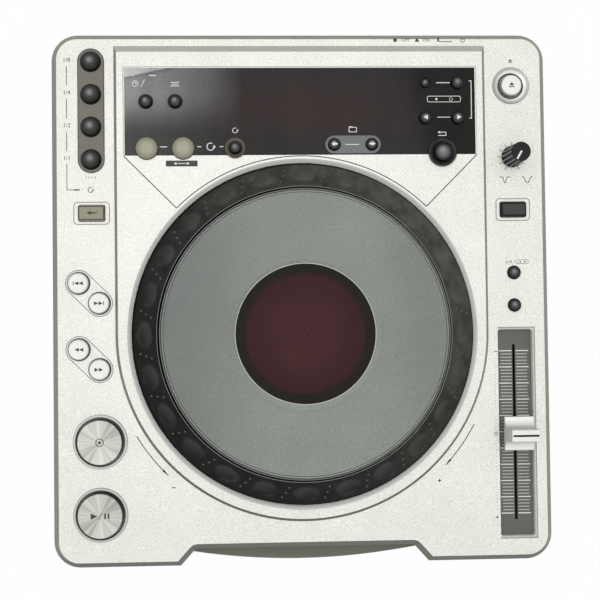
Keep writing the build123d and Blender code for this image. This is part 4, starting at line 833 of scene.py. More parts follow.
def lettering(text, x, y, height):
    """Plain figures, centred on a place; height is that of a figure."""
    curve = bpy.data.curves.new("figures", "FONT")
    curve.body = text
    curve.align_x = "CENTER"
    curve.align_y = "CENTER"
    curve.size = height / 0.70
    curve.extrude = 1.0
    curve.resolution_u = 3
    holder = add_object("figures", curve)
    mesh = evaluated_mesh(holder)
    points = [(x + vertex.co.x, y + vertex.co.y, vertex.co.z > 0) for vertex in mesh.vertices]
    faces = [list(polygon.vertices) for polygon in mesh.polygons]
    bpy.data.objects.remove(holder)
    bpy.data.meshes.remove(mesh)
    bpy.data.curves.remove(curve)
    return ("figures", points, faces)


# ---------------------------------------------------------------- pieces


def add_object(name, data):
    made = bpy.data.objects.new(name, data)
    bpy.context.scene.collection.objects.link(made)
    return made


def evaluated_mesh(holder):
    """The mesh that an object comes to with its settings and modifiers."""
    bpy.context.view_layer.update()
    return bpy.data.meshes.new_from_object(holder.evaluated_get(bpy.context.evaluated_depsgraph_get()))


def end_mesh(work, name, merge=1e-7, outward=True):
    """Ends a mesh in the making: joins doubled points and turns its faces outward."""
    bmesh.ops.remove_doubles(work, verts=work.verts, dist=merge)
    if outward:
        bmesh.ops.recalc_face_normals(work, faces=work.faces)
    mesh = bpy.data.meshes.new(name)
    work.to_mesh(mesh)
    work.free()
    return mesh


def keep(mesh, name, body, material, matrix=None, smooth=None):
    """Makes a piece from a mesh, gives it its finish and lets it ride on its body."""
    mesh.materials.append(material)
    if matrix is not None:
        mesh.transform(matrix)
    if smooth is not None:
        mesh.shade_smooth()
        mesh.set_sharp_from_angle(angle=math.radians(smooth))
    piece = add_object(name, mesh)
    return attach(piece, body)


def skin(work, loops):
    """Faces between each loop of points and the next."""
    for low, high in zip(loops, loops[1:]):
        for index in range(len(low)):
            after = (index + 1) % len(low)
            work.faces.new((low[index], low[after], high[after], high[index]))


def solid(work, loops):
    """A skin over some loops, closed by a face on the last and the first of them."""
    skin(work, loops)
    work.faces.new(loops[-1])
    work.faces.new(loops[0][::-1])


def prism(work, loops):
    """A closed body through loops that stand side by side, from left to right."""
    for left, right in zip(loops, loops[1:]):
        for index in range(len(left)):
            after = (index + 1) % len(left)
            work.faces.new((left[index], right[index], right[after], left[after]))
    work.faces.new(loops[0])
    work.faces.new(loops[-1][::-1])


def add_shape(work, shape, low, high):
    """Adds one closed shape to a mesh in the making."""
    kind, *loops = shape
    if kind == "figures":
        points, faces = loops
        made = [work.verts.new((high if top else low)(x, y)) for x, y, top in points]
        for face in faces:
            work.faces.new([made[index] for index in face])
        return
    under = [[work.verts.new(low(*point)) for point in loop] for loop in loops]
    over = [[work.verts.new(high(*point)) for point in loop] for loop in loops]
    if kind == "band":
        skin(work, [under[0], over[0], over[1], under[1], under[0]])
    else:
        solid(work, [under[0], over[0]])


def marks(name, shapes, node, body, material, height=None, sink=0.04):
    """Thin raised marks that lie on a node's surface, as one piece."""
    rise = sizes().print_height / MM if height is None else height
    work = bmesh.new()

    def low(x, y):
        return deck_point(x, y, surface_height(node, x, y) - sink)

    def high(x, y):
        return deck_point(x, y, surface_height(node, x, y) + rise)

    for shape in shapes:
        add_shape(work, shape, low, high)
    keep(end_mesh(work, name), name, body, material)


def plate_marks(name, shapes, material=None, height=None):
    """Marks on the flat of the cover, dark where no other finish is given."""
    marks(name, shapes, PLATE_TOP, "case", material or dark_print(), height)


def cap_marks(name, shapes, button, material=None, height=0.07, sink=0.04):
    """Marks that ride on a button."""
    marks(name, shapes, button, button, material or dark_print(), height, sink)


def turned_piece(name, profile, axes, body, material, count):
    """A closed profile of radii and heights, turned about the third of some axes."""
    work = bmesh.new()
    loops = [
        [work.verts.new((x * MM, y * MM, height * MM)) for x, y in circle_points(0, 0, radius, count)]
        for radius, height in profile
    ]
    skin(work, [*loops, loops[0]])
    keep(end_mesh(work, name), name, body, material, axes, 35)


def paint(material, *nodes):
    """Gives carried-over nodes a finish."""
    for name in nodes:
        for holder in frame["nodes"][name].material_slots:
            holder.material = material


# ---------------------------------------------------------------- operators


class Dressing(bpy.types.Operator):
    """Shared by the operators that dress the player"""

    bl_options = {"REGISTER", "UNDO"}

    def execute(self, context):
        self.dress()
        return {"FINISHED"}


class DISCPLAYER_OT_studio(Dressing):
    """Make the floor, the lamps and the camera"""

    bl_idname = "disc_player.studio"
    bl_label = "Studio"

    def dress(self):
        bpy.context.scene.view_settings.view_transform = "Standard"
        self.make_floor()
        self.make_sky()
        self.make_softbox()
        self.make_camera()

    def make_floor(self):
        work = bmesh.new()
        bmesh.ops.create_grid(work, x_segments=4, y_segments=4, size=4.0)
        mesh = end_mesh(work, "floor", outward=False)
        sweep = Finish("floor_white", (0.955, 0.955, 0.955), 0.9, Specular_IOR_Level=0.0)
        sweep.vary(sweep.noise(300, 2), 0.995, 1.005)
        mesh.materials.append(sweep.done())
        glow = sweep.add("ShaderNodeEmission", {"Color": WHITE, "Strength": 1.0}).outputs[0]
        blend = sweep.blend(sweep.times(sweep.seen(), 0.97), sweep.surface.outputs["BSDF"], glow)
        sweep.feed(sweep.output.inputs["Surface"], blend)
        add_object("floor", mesh)

    def make_sky(self):
        world = bpy.data.worlds.new("studio_sky")
        bpy.context.scene.world = world
        sky = Nodes(world)
        height = sky.parts(sky.add("ShaderNodeTexCoord").outputs["Generated"])["Z"]
        power = studio().sky_strength
        strength = sky.spread(height, 0.0, 0.9, 0.45 * power, 1.12 * power)
        light = sky.add("ShaderNodeBackground", {"Color": SKY_TINT, "Strength": strength}).outputs[0]
        white = sky.add("ShaderNodeBackground", {"Color": WHITE, "Strength": 1.0}).outputs[0]
        sky.add("ShaderNodeOutputWorld", {"Surface": sky.blend(sky.seen(), light, white)})

    def make_softbox(self):
        lamp = bpy.data.lights.new("softbox", "AREA")
        lamp.shape = "SQUARE"
        lamp.size = 0.8
        lamp.energy = studio().softbox_power
        holder = add_object("softbox", lamp)
        holder.location = SOFTBOX_PLACE
        aim = Vector(SOFTBOX_AIM) - holder.location
        holder.rotation_euler = aim.to_track_quat("-Z", "Y").to_euler()

    def make_camera(self):
        camera = bpy.data.cameras.new("camera")
        camera.sensor_width = 36.0
        camera.lens = studio().lens
        camera.shift_x, camera.shift_y = CAMERA_SHIFT
        camera.clip_start, camera.clip_end = 0.01, 50.0
        place = deck_matrix(*CAMERA_PLACE, studio().camera_height / MM)
        for axis, degrees in CAMERA_TURNS:
            place = place @ Matrix.Rotation(math.radians(degrees), 4, axis)
        holder = add_object("camera", camera)
        holder.matrix_world = place
        bpy.context.scene.camera = holder


class DISCPLAYER_OT_housing(Dressing):
    """Finish the top cover, the raised block, the bottom case, the bezel and the feet"""

    bl_idname = "disc_player.housing"
    bl_label = "Housing"

    def dress(self):
        paint(silver_paint(), "top_cover", "centre_panel", "display_hood")
        paint(moulded("charcoal_case", "case_charcoal", 0.55, 0.5), "bottom_case")
        paint(moulded("black_panel", "jack_black", 0.5, 0.5), "rear_panel")
        paint(moulded("foot_rubber", "jack_black", 0.8, 0.8), "feet")
        paint(sheet_metal("plated_screws", "zinc_steel"), "case_screws")
        self.make_bezel()
        self.make_seams()
        self.make_power_label()
        self.make_jog_arrows()

    def make_bezel(self):
        """The slot bezel, its face and its top trimmed back to the long arc that shows from above."""
        source = frame["nodes"]["front_bezel"]
        work = bmesh.new()
        work.from_mesh(source.data)
        cutter = add_object("bezel_cutter", self.bezel_trim())
        shell = add_object("bezel_shell", end_mesh(work, "bezel_shell", 1e-6, False))
        shell.matrix_world = source.matrix_world
        cut = shell.modifiers.new("trim", "BOOLEAN")
        cut.operation = "DIFFERENCE"
        cut.solver = "EXACT"
        cut.object = cutter
        mesh = evaluated_mesh(shell)
        for spare in (shell, cutter):
            bpy.data.objects.remove(spare)
        mesh.materials.clear()
        grey = moulded("bezel_plastic", "bezel_grey", 0.45, 0.5)
        piece = keep(mesh, "bezel_shell", "case", grey, source.matrix_world.copy(), 30)
        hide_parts("front_bezel")

    def bezel_trim(self):
        """What is cut from the bezel: all ahead of its leaning face, and the part over its ledge."""
        nose, foot, ledge, low, top = -171.95, 17.0, 50.8, 29.0, 75.0
        ahead, behind = -190.0, -152.6
        arc, lean = 435.0, math.tan(math.radians(14.0))
        work = bmesh.new()
        columns = []
        for step in range(-45, 46):
            x = step * 2.0
            nearest = nose + arc - math.sqrt(arc**2 - x**2)
            outline = (
                (ahead, low),
                (nearest + (low - foot) * lean, low),
                (nearest + (ledge - foot) * lean, ledge),
                (behind, ledge),
                (behind, top),
                (ahead, top),
            )
            columns.append([work.verts.new((x * MM, y * MM, z * MM)) for y, z in outline])
        prism(work, columns)
        bmesh.ops.triangulate(work, faces=work.faces)
        return end_mesh(work, "bezel_trim")

    def make_seams(self):
        """The line between the hood and the panel behind the jog."""
        line = sizes().seam_line / MM
        radius, start, (x, y) = 108.4, 45.2, (108.2, 86.8)
        right, back = polar(*JOG, radius, start)
        shapes = [
            stroke(((-x, y), (-right, back)), line),
            stroke(((x, y), (right, back)), line),
            stroke(arc_points(*JOG, radius, start, 180 - start, 96), line),
        ]
        marks("hood_seam", shapes, BLOCK_TOP, "case", dark_print(), 0.02)

    def make_power_label(self):
        """Signs for the switch at the back: released is off, pressed in is on."""
        y = 158.3
        thin = sizes().fine_line / MM
        shapes = [
            bar(59.0, y, 2.1, 2.1),
            lettering("OFF", 65.4, y, 2.0),
            bar(72.6, y - 0.6, 2.6, 0.9),
            bar(72.6, y + 0.4, 1.4, 1.2),
            lettering("ON", 78.3, y, 2.0),
            bar(85.8, y + 0.3, 1.1, 2.4),
            bar(90.2, y - 0.9, 8.0, thin),
            stroke(arc_points(101.0, y - 0.1, 1.2, 130, 410, 16), thin),
            bar(101.0, y + 0.9, thin, 1.3),
        ]
        plate_marks("power_label", shapes)

    def make_jog_arrows(self):
        """Thin curved arrows beside the jog, with their minus and plus."""
        thin = sizes().fine_line / MM * 1.3
        radius = 118.8
        shapes = []
        for start, end, sign in ((211.0, 225.8, 1), (-28.6, -43.4, -1)):
            shapes.append(stroke(arc_points(*JOG, radius, start, end, 16), thin))
            tip = polar(*JOG, radius, end - sign * 1.1)
            shapes.append(triangle(*tip, 4.4, 1.5, end - sign * 0.9 + sign * 90))
        shapes += [bar(-79.7, -114.4, 2.0, thin), *plus_sign(82.4, -113.0, 2.0, thin)]
        plate_marks("jog_arrows", shapes)


class DISCPLAYER_OT_display(Dressing):
    """Finish the display window and print the marks on it"""

    bl_idname = "disc_player.display"
    bl_label = "Display window"

    def dress(self):
        paint(smoked_window(), "display_window")
        paint(moulded("display_back", "jack_black", 0.4, 0.5), "display_module")
        thin = 0.5
        shapes = [
            disc(-102.2, 136.0, 0.45, 12),
            bar(-90.3, 136.0, 4.1, 0.6),
            bar(-96.2, 131.3, 5.0, 0.4, 63),
            *self.clock(-100.8, 131.0),
            *self.page(-76.7, 130.6),
            bar(-84.0, 92.3, 4.4, thin),
            bar(-62.2, 92.3, 2.6, thin),
            bar(-48.7, 92.3, 2.1, thin),
            *self.round_arrow(-55.4, 92.3, 2.2),
            bar(87.8, 131.2, 8.5, thin),
            rounded_frame(88.3, 121.1, 20.9, 3.9, 1.2, 0.35),
            disc(83.6, 121.1, 0.7, 12),
            *self.round_arrow(92.6, 121.1, 0.95),
            bar(88.0, 109.9, 8.2, 0.4),
            stroke(((103.9, 132.3), (105.3, 132.3), (105.2, 109.2), (103.8, 109.2)), 0.5),
            *self.round_arrow(-40.4, 102.2, 1.5),
            stroke(((84.4, 98.6), (89.2, 98.6), (89.2, 100.6), (85.4, 100.6)), 0.45),
            arrow(84.8, 100.6, 1.6, 1.7, -1),
            *self.folder(31.7, 102.4),
        ]
        marks("window_marks", shapes, "display_window", "case", light_print())
        self.make_rim()

    def clock(self, x, y):
        return [ring(x, y, 1.9, 1.5, 24), bar(x, y + 0.55, 0.35, 1.3), bar(x + 0.45, y, 1.1, 0.35)]

    def page(self, x, y):
        return [bar(x, y + step * 1.1, 5.4 if step else 4.0, 0.42) for step in (-1, 0, 1)]

    def round_arrow(self, x, y, radius):
        return [
            stroke(arc_points(x, y, radius, 60, 350, 18), radius * 0.24),
            triangle(x + radius * 1.02, y + radius * 0.15, radius * 0.8, radius * 0.8, 90),
        ]

    def folder(self, x, y):
        return [rounded_frame(x, y, 5.0, 3.2, 0.4, 0.4), bar(x - 1.3, y + 1.75, 2.2, 0.5)]

    def make_rim(self):
        """Painted highlights: bright edges along the top and the left of the window."""
        (left, front), (right, back) = WINDOW
        material = moulded("window_painted_highlight", "print_light", 0.3, 0.6)
        # painted highlight lines along the window's top and left edges
        shapes = [
            bar(0, back + 0.35, right - left + 1.0, 0.45),
            bar(left - 0.35, (front + back) / 2, 0.35, back - front),
        ]
        marks("window_rim_highlight", shapes, "display_hood", "case", material, FLUSH)


class DISCPLAYER_OT_jog(Dressing):
    """Finish the jog: grip ring with its dots, platter, lens and what lies under them"""

    bl_idname = "disc_player.jog"
    bl_label = "Jog"

    def dress(self):
        paint(grip_rubber(), "jog_ring")
        paint(coated_platter(), "jog_platter")
        paint(smoked_lens(), "jog_lens")
        paint(moulded("jog_black", "jack_black", 0.5, 0.6), "jog_wheel", "jog_base")
        paint(moulded("display_maroon", "lens_maroon", 0.3, 0.6), "jog_display")
        coat = moulded("platter_edge", "case_charcoal", 0.4, 0.6)
        top = LENS_RING_TOP
        inner = ((46.4, 15.8), (46.4, 16.48), (46.2, top), (41.5, top), (41.3, 16.4), (41.3, 15.8))
        top = PLATTER_RING_TOP
        edge = ((84.8, 14.2), (86.4, 14.2), (86.4, 15.4), (86.2, top), (84.8, top))
        for name, profile, tone in (
            ("platter_inner_ring", inner, coated_platter()),
            ("platter_edge_ring", edge, coat),
        ):
            turned_piece(name, profile, deck_matrix(*JOG), "platter", tone, JOG_FACETS)
        self.make_dots()
        self.make_edges()

    def make_dots(self):
        """Three small raised dots in a slanting row between one dimple and the next."""
        radius = sizes().ring_dot / MM
        work = bmesh.new()
        for slot in range(DIMPLES):
            for row in (-1, 0, 1):
                turn = DIMPLE_PITCH * (slot + 0.5) - row * 1.0
                self.add_dot(work, *polar(*JOG, DIMPLE_CENTRE + row * 3.4, turn), radius)
        shine = moulded("dot_rubber", "dot_grey", 0.28, 0.5)
        keep(end_mesh(work, "ring_dots"), "ring_dots", "jog", shine, None, 60)

    def add_dot(self, work, x, y, radius):
        count, steps, flat, sink = 12, 4, 0.55, 0.15

        def on_ring(place, rise):
            return work.verts.new(deck_point(*place, surface_height("jog_ring", *place) + rise))

        circles = []
        for step in range(steps):
            turn = math.pi / 2 * step / steps
            rise = flat * radius * math.sin(turn) - (0.0 if step else sink)
            places = circle_points(x, y, radius * math.cos(turn), count)
            circles.append([on_ring(place, rise) for place in places])
        skin(work, circles)
        work.faces.new(circles[0][::-1])
        top = on_ring((x, y), flat * radius)
        for index, point in enumerate(circles[-1]):
            work.faces.new((point, circles[-1][(index + 1) % count], top))

    def make_edges(self):
        """Painted highlights: bright lines at the ring's inner edge, the platter's edge and the lens's edge;
        and a dark line of painted shade just inside the platter's edge.
        """
        edge_highlight = moulded("painted_edge_highlight", "ring_silver", 0.3, 0.4)
        dim_edge_highlight = moulded("painted_dim_highlight", "platter_grey", 0.35, 0.4)
        dark = moulded("painted_dark_edge", "case_charcoal", 0.5, 0.4)
        # painted highlights, bright and dim, and one line of painted shade
        line = [ring(*JOG, 88.25, 87.85, JOG_FACETS)]
        marks("ring_inner_line", line, "jog_ring", "jog", dim_edge_highlight, 0.06)
        for name, outer, inner, count, level, tone, height in (
            ("platter_line", 84.9, 84.55, JOG_FACETS, "jog_platter", edge_highlight, 0.05),
            ("edge_line", 86.2, 85.9, JOG_FACETS, PLATTER_RING_TOP, dim_edge_highlight, 0.04),
            ("platter_groove", 84.1, 83.75, JOG_FACETS, "jog_platter", dark, FLUSH),
            ("lens_line", 41.9, 41.5, 144, LENS_RING_TOP, edge_highlight, 0.05),
        ):
            line = [ring(*JOG, outer, inner, count)]
            marks(name, line, level, "platter", tone, height)


class DISCPLAYER_OT_loop_buttons(Dressing):
    """Finish the four loop buttons on their pod and mark them with fractions"""

    bl_idname = "disc_player.loop_buttons"
    bl_label = "Loop buttons"

    def dress(self):
        paint(moulded("olive_pod", "pod_olive", 0.5, 0.5), "loop_pod")
        for index, place in enumerate(LOOPS):
            paint(domed_plastic("loop_cap", "loop_black", *place, 5.45, 0.18), f"loop_button_{index + 1}")
        edge = moulded("pod_edge", "case_charcoal", 0.5, 0.5)
        pod = [pair_frame((LOOPS[0], LOOPS[-1]), 8.0, 0.35)]
        # painted shade: dark rings in the gaps round the loop buttons
        gap_shade_rings = [ring(*place, 6.4, 5.9, 48) for place in LOOPS]
        for name, shapes, tone in (("pod_edge", pod, edge), ("loop_gap_shade", gap_shade_rings, gap_shade_and_line_black())):
            marks(name, shapes, "loop_pod", "case", tone, FLUSH)
        self.make_fractions()

    def make_fractions(self):
        """Fractions joined by lines, and the line that leads on to the sign of a loop."""
        thin = sizes().fine_line / MM
        x, turn, foot = -142.8, 66.7, 74.2
        fractions = (("1/8", 146.2), ("1/4", 126.1), ("1/2", 106.0), ("1/1", 86.0))
        shapes = [lettering(text, x + 0.1, y, 2.5) for text, y in fractions]
        for low, high in ((130.7, 142.3), (110.4, 122.3), (90.4, 102.0)):
            shapes.append(bar(x, (low + high) / 2, thin, high - low))
        shapes += [
            stroke(((x, 82.7), (x, turn), (-138.5, turn)), thin),
            bar(-137.0, turn, 3.6, 0.8),
            stroke(arc_points(-128.6, turn - 0.1, 1.5, 60, 350, 16), thin),
            triangle(-127.1, turn + 0.2, 1.2, 1.2, 90),
        ]
        shapes += [bar(-131.2 + 1.8 * step, foot, 0.35, 1.0 + 0.6 * (step % 2)) for step in range(4)]
        plate_marks("loop_marks", shapes)


class DISCPLAYER_OT_search_buttons(Dressing):
    """Finish the two pairs of white search buttons, their seats and their arrows"""

    bl_idname = "disc_player.search_buttons"
    bl_label = "Search buttons"

    def dress(self):
        names = ("track_back_button", "track_forward_button", "search_back_button", "search_forward_button")
        seat = moulded("search_seat", "button_white", 0.4, 0.4)
        line = sizes().seam_line / MM * 0.6
        outlines = [pair_frame(pair, 8.1, line) for pair in (TRACK_PAIR, SEARCH_PAIR)]
        plate_marks("search_outline", outlines, None, FLUSH)
        places = (*TRACK_PAIR, *SEARCH_PAIR)
        for name, outer, inner, tone, height in (
            ("search_seats", 7.7, 7.0, seat, 0.06),
            # painted shade: a dark ring in the gap round each search button
            ("search_gap_shade", 7.05, 6.6, dark_print(), 0.05),
        ):
            rings = [ring(*place, outer, inner, 48) for place in places]
            marks(name, rings, PLATE_TOP, "case", tone, height)
        for name, place in zip(names, places):
            paint(white_plastic(*place, 6.25), name)
            cap_marks(f"{name}_arrows", self.arrows(name, *place), name)

    def arrows(self, name, x, y):
        facing = -1 if "back" in name else 1
        shapes = [arrow(x + facing * step, y, 2.6, 2.3, facing) for step in (-1.6, 1.1)]
        if "track" in name:
            shapes.append(bar(x + facing * 2.9, y, 0.4, 2.4))
        return shapes


class DISCPLAYER_OT_transport(Dressing):
    """Finish the cue and play buttons and the trim rings"""

    bl_idname = "disc_player.transport"
    bl_label = "Cue and play"

    def dress(self):
        paint(ring_metal(), "button_rings")
        for name, place in (("cue_button", CUE), ("play_button", PLAY)):
            paint(spun_metal(*place, 13.6), name)
        x, y = CUE
        cue = [ring(x, y, 2.5, 2.0, 32), disc(x, y, 0.9, 16)]
        cap_marks("cue_sign", cue, "cue_button")
        x, y = PLAY
        play = [
            arrow(x - 3.6, y, 4.0, 3.6, 1),
            bar(x + 0.1, y, 4.2, 0.45, 68),
            bar(x + 3.0, y, 1.0, 3.2),
            bar(x + 5.0, y, 1.0, 3.2),
        ]
        cap_marks("play_sign", play, "play_button")


class DISCPLAYER_OT_keys(Dressing):
    """Finish the reverse and jog mode keys and the frames round them"""

    bl_idname = "disc_player.keys"
    bl_label = "Keys"

    def dress(self):
        paint(moulded("reverse_key", "reverse_tan", 0.3, 0.5), "reverse_button")
        paint(moulded("mode_key", "case_charcoal", 0.35, 0.5), "jog_mode_button")
        line = sizes().seam_line / MM * 0.8
        reverse, mode = REVERSE_KEY, JOG_MODE_KEY
        frames = [rounded_frame(*reverse, 22.0, 13.9, 2.4, line), rounded_frame(*mode, 21.4, 13.9, 2.4, line)]
        plate_marks("key_frames", frames, groove_grey(), FLUSH)
        # painted shade: dark frames in the gaps round the two keys
        gaps = [rounded_frame(*mode, 16.6, 9.6, 1.0, 0.55), rounded_frame(*reverse, 16.6, 9.6, 1.0, 0.3)]
        plate_marks("key_gap_shade", gaps, gap_shade_and_line_black(), FLUSH)
        # painted shade along the edges of the two keys
        for name, key, place, width, line, slot, tone in (
            ("mode_key_edge_shade", "jog_mode_button", mode, 15.4, 1.0, "case_charcoal", gap_shade_and_line_black()),
            ("reverse_key_edge_shade", "reverse_button", reverse, 15.5, 0.6, "reverse_tan", dark_print()),
        ):
            edge = [rounded_frame(*place, width, width - 7.0, 0.8, line)]
            marks(name, edge, surface_height(key, *place), key, tone, FLUSH)
        x, y = reverse
        sign = [arrow(x - 1.4, y, 2.6, 2.8, -1), bar(x + 1.6, y, 3.4, 0.8)]
        cap_marks("reverse_sign", sign, "reverse_button", None, 0.05)


class DISCPLAYER_OT_window_buttons(Dressing):
    """Finish the buttons that stand in the display window and their signs"""

    bl_idname = "disc_player.window_buttons"
    bl_label = "Window buttons"

    def dress(self):
        paint(moulded("grey_pod", "pod_grey", 0.35, 0.5), "folder_pod")
        caps = {
            "time_mode_button": (TIME_MODE, 3.7),
            "text_mode_button": (TEXT_MODE, 3.7),
            "folder_back_button": (FOLDERS[0], 3.6),
            "folder_forward_button": (FOLDERS[1], 3.6),
            "delete_button": (DELETE, 2.7),
            "memory_button": (MEMORY, 3.7),
            "call_back_button": (CALLS[0], 3.7),
            "call_forward_button": (CALLS[1], 3.7),
            "reloop_button": (RELOOP, 3.5),
            "quick_return_button": (QUICK_RETURN, 5.2),
        }
        for name, (place, radius) in caps.items():
            colour = "return_grey" if name == "quick_return_button" else "button_black"
            paint(domed_plastic(f"{name}_cap", colour, *place, radius, 0.12), name)
        for name, place in (("loop_in_button", POINT_IN), ("loop_out_button", POINT_OUT)):
            paint(domed_plastic("point_cap", "point_beige", *place, 6.6, 0.66), name)
        for name in [name for name in caps if name.startswith(("folder", "call"))]:
            facing = -1 if "back" in name else 1
            x, y = caps[name][0]
            shapes = [arrow(x + facing * 0.4, y, 2.6, 2.9, facing)]
            if "folder" in name:
                shapes = [arrow(x + facing * 0.9, y, 2.2, 2.9, facing), bar(x - facing * 1.0, y, 1.6, 1.1)]
            cap_marks(f"{name}_arrow", shapes, name, light_print(), 0.14, 0.0)
        x = sum(place[0] for place in FOLDERS) / 2
        dash = [bar(x - 0.6, FOLDERS[0][1], 8.5, 0.45)]
        marks("folder_dash", dash, "folder_pod", "case", light_print(), 0.04)
        self.make_out_label()
        # painted shade: dark rings in the gaps round the window's small buttons
        gap_shade_rings = [
            ring(*place, radius + 0.9, radius + 0.45, 40)
            for place, radius in caps.values()
            if place not in (RELOOP, QUICK_RETURN, *FOLDERS)
        ]
        marks("window_gap_shade", gap_shade_rings, "display_window", "case", gap_shade_and_line_black(), FLUSH)

    def make_out_label(self):
        """The dark label under the out button, with two small arrows."""
        x, y = OUT_LABEL
        label = [patch(rounded_points(x, y, 19.3, 3.6, 0.6))]
        marks("out_label", label, "display_hood", "case", dark_print(), 0.04)
        shapes = [arrow(x - 4, y, 1.8, 1.8, -1), arrow(x + 4, y, 1.8, 1.8, 1), bar(x, y, 5.0, 0.5)]
        marks("out_label_arrows", shapes, "display_hood", "case", light_print(), 0.09)


class DISCPLAYER_OT_eject(Dressing):
    """Finish the eject button and its sign"""

    bl_idname = "disc_player.eject"
    bl_label = "Eject"

    def dress(self):
        paint(white_plastic(*EJECT, 6.4), "eject_button")
        x, y = EJECT
        # painted shade: a dark ring in the gap round the eject button
        dark = moulded("eject_gap_shade", "gap_shade_and_line_black", 0.5, 0.4)
        for name, outer, inner, tone in (
            ("eject_gap_shade", 8.0, 7.15, dark),
            ("eject_edge", 11.35, 10.95, groove_grey()),
        ):
            marks(name, [ring(x, y, outer, inner, 64)], "button_rings", "case", tone, FLUSH)
        sign = [triangle(x, y + 0.7, 1.9, 3.2, 90), bar(x, y - 1.1, 3.2, 0.6)]
        cap_marks("eject_sign", sign, "eject_button")
        plate_marks("eject_label", [triangle(x, y + 15.9, 1.4, 2.4, 90), bar(x, y + 14.6, 2.4, 0.45)])


class DISCPLAYER_OT_speed_knob(Dressing):
    """Finish the speed knob, its pointer and the marks round it"""

    bl_idname = "disc_player.speed_knob"
    bl_label = "Speed knob"

    def dress(self):
        x, y = KNOB
        self.make_knob(x, y)
        pointer = [bar(*polar(x, y, 2.6, POINTER_ANGLE), 5.6, 1.15, POINTER_ANGLE)]
        marks("knob_pointer", pointer, KNOB_TOP, "speed_knob", light_print(), 0.05)
        thin = sizes().fine_line / MM
        angles = [POINTER_ANGLE - 30 * step for step in range(11)]
        shapes = [bar(*polar(x, y, 7.9, angle), 1.9, thin, angle) for angle in angles]
        top, foot = y - 12.5, y - 16.0
        for middle, half in ((126.0, 1.3), (140.0, 2.3)):
            left = [(middle - 3.4, top), (middle - half, top), (middle - half * 0.25, foot)]
            shapes.append(stroke(left + [(2 * middle - a, b) for a, b in reversed(left)], thin))
        plate_marks("knob_marks", shapes)

    def make_knob(self, x, y):
        """The knob's skirt and its ribbed, slightly tapering grip."""
        profile = (  # radius, height and depth of the grooves between the ribs
            (6.6, 0.4, 0.0),
            (6.75, 1.2, 0.0),
            (6.5, 1.9, 0.0),
            (6.35, 2.3, 0.55),
            (6.1, 9.0, 0.55),
            (5.95, 15.3, 0.5),
            (5.75, 15.8, 0.0),
            (5.45, KNOB_TOP, 0.0),
        )
        facets = 10
        turns = [2 * math.pi * step / (KNOB_RIBS * facets) for step in range(KNOB_RIBS * facets)]
        work = bmesh.new()
        circles = []
        for radius, height, groove in profile:
            circle = []
            for turn in turns:
                reach = (radius - groove * (0.5 - 0.5 * math.cos(KNOB_RIBS * turn)) ** 0.7) * MM
                circle.append(work.verts.new((reach * math.cos(turn), reach * math.sin(turn), height * MM)))
            circles.append(circle)
        solid(work, circles)
        mesh, rubber = end_mesh(work, "knob_grip"), ribbed_rubber(x, y)
        piece = keep(mesh, "knob_grip", "speed_knob", rubber, deck_matrix(x, y), 50)
        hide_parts("speed_knob")


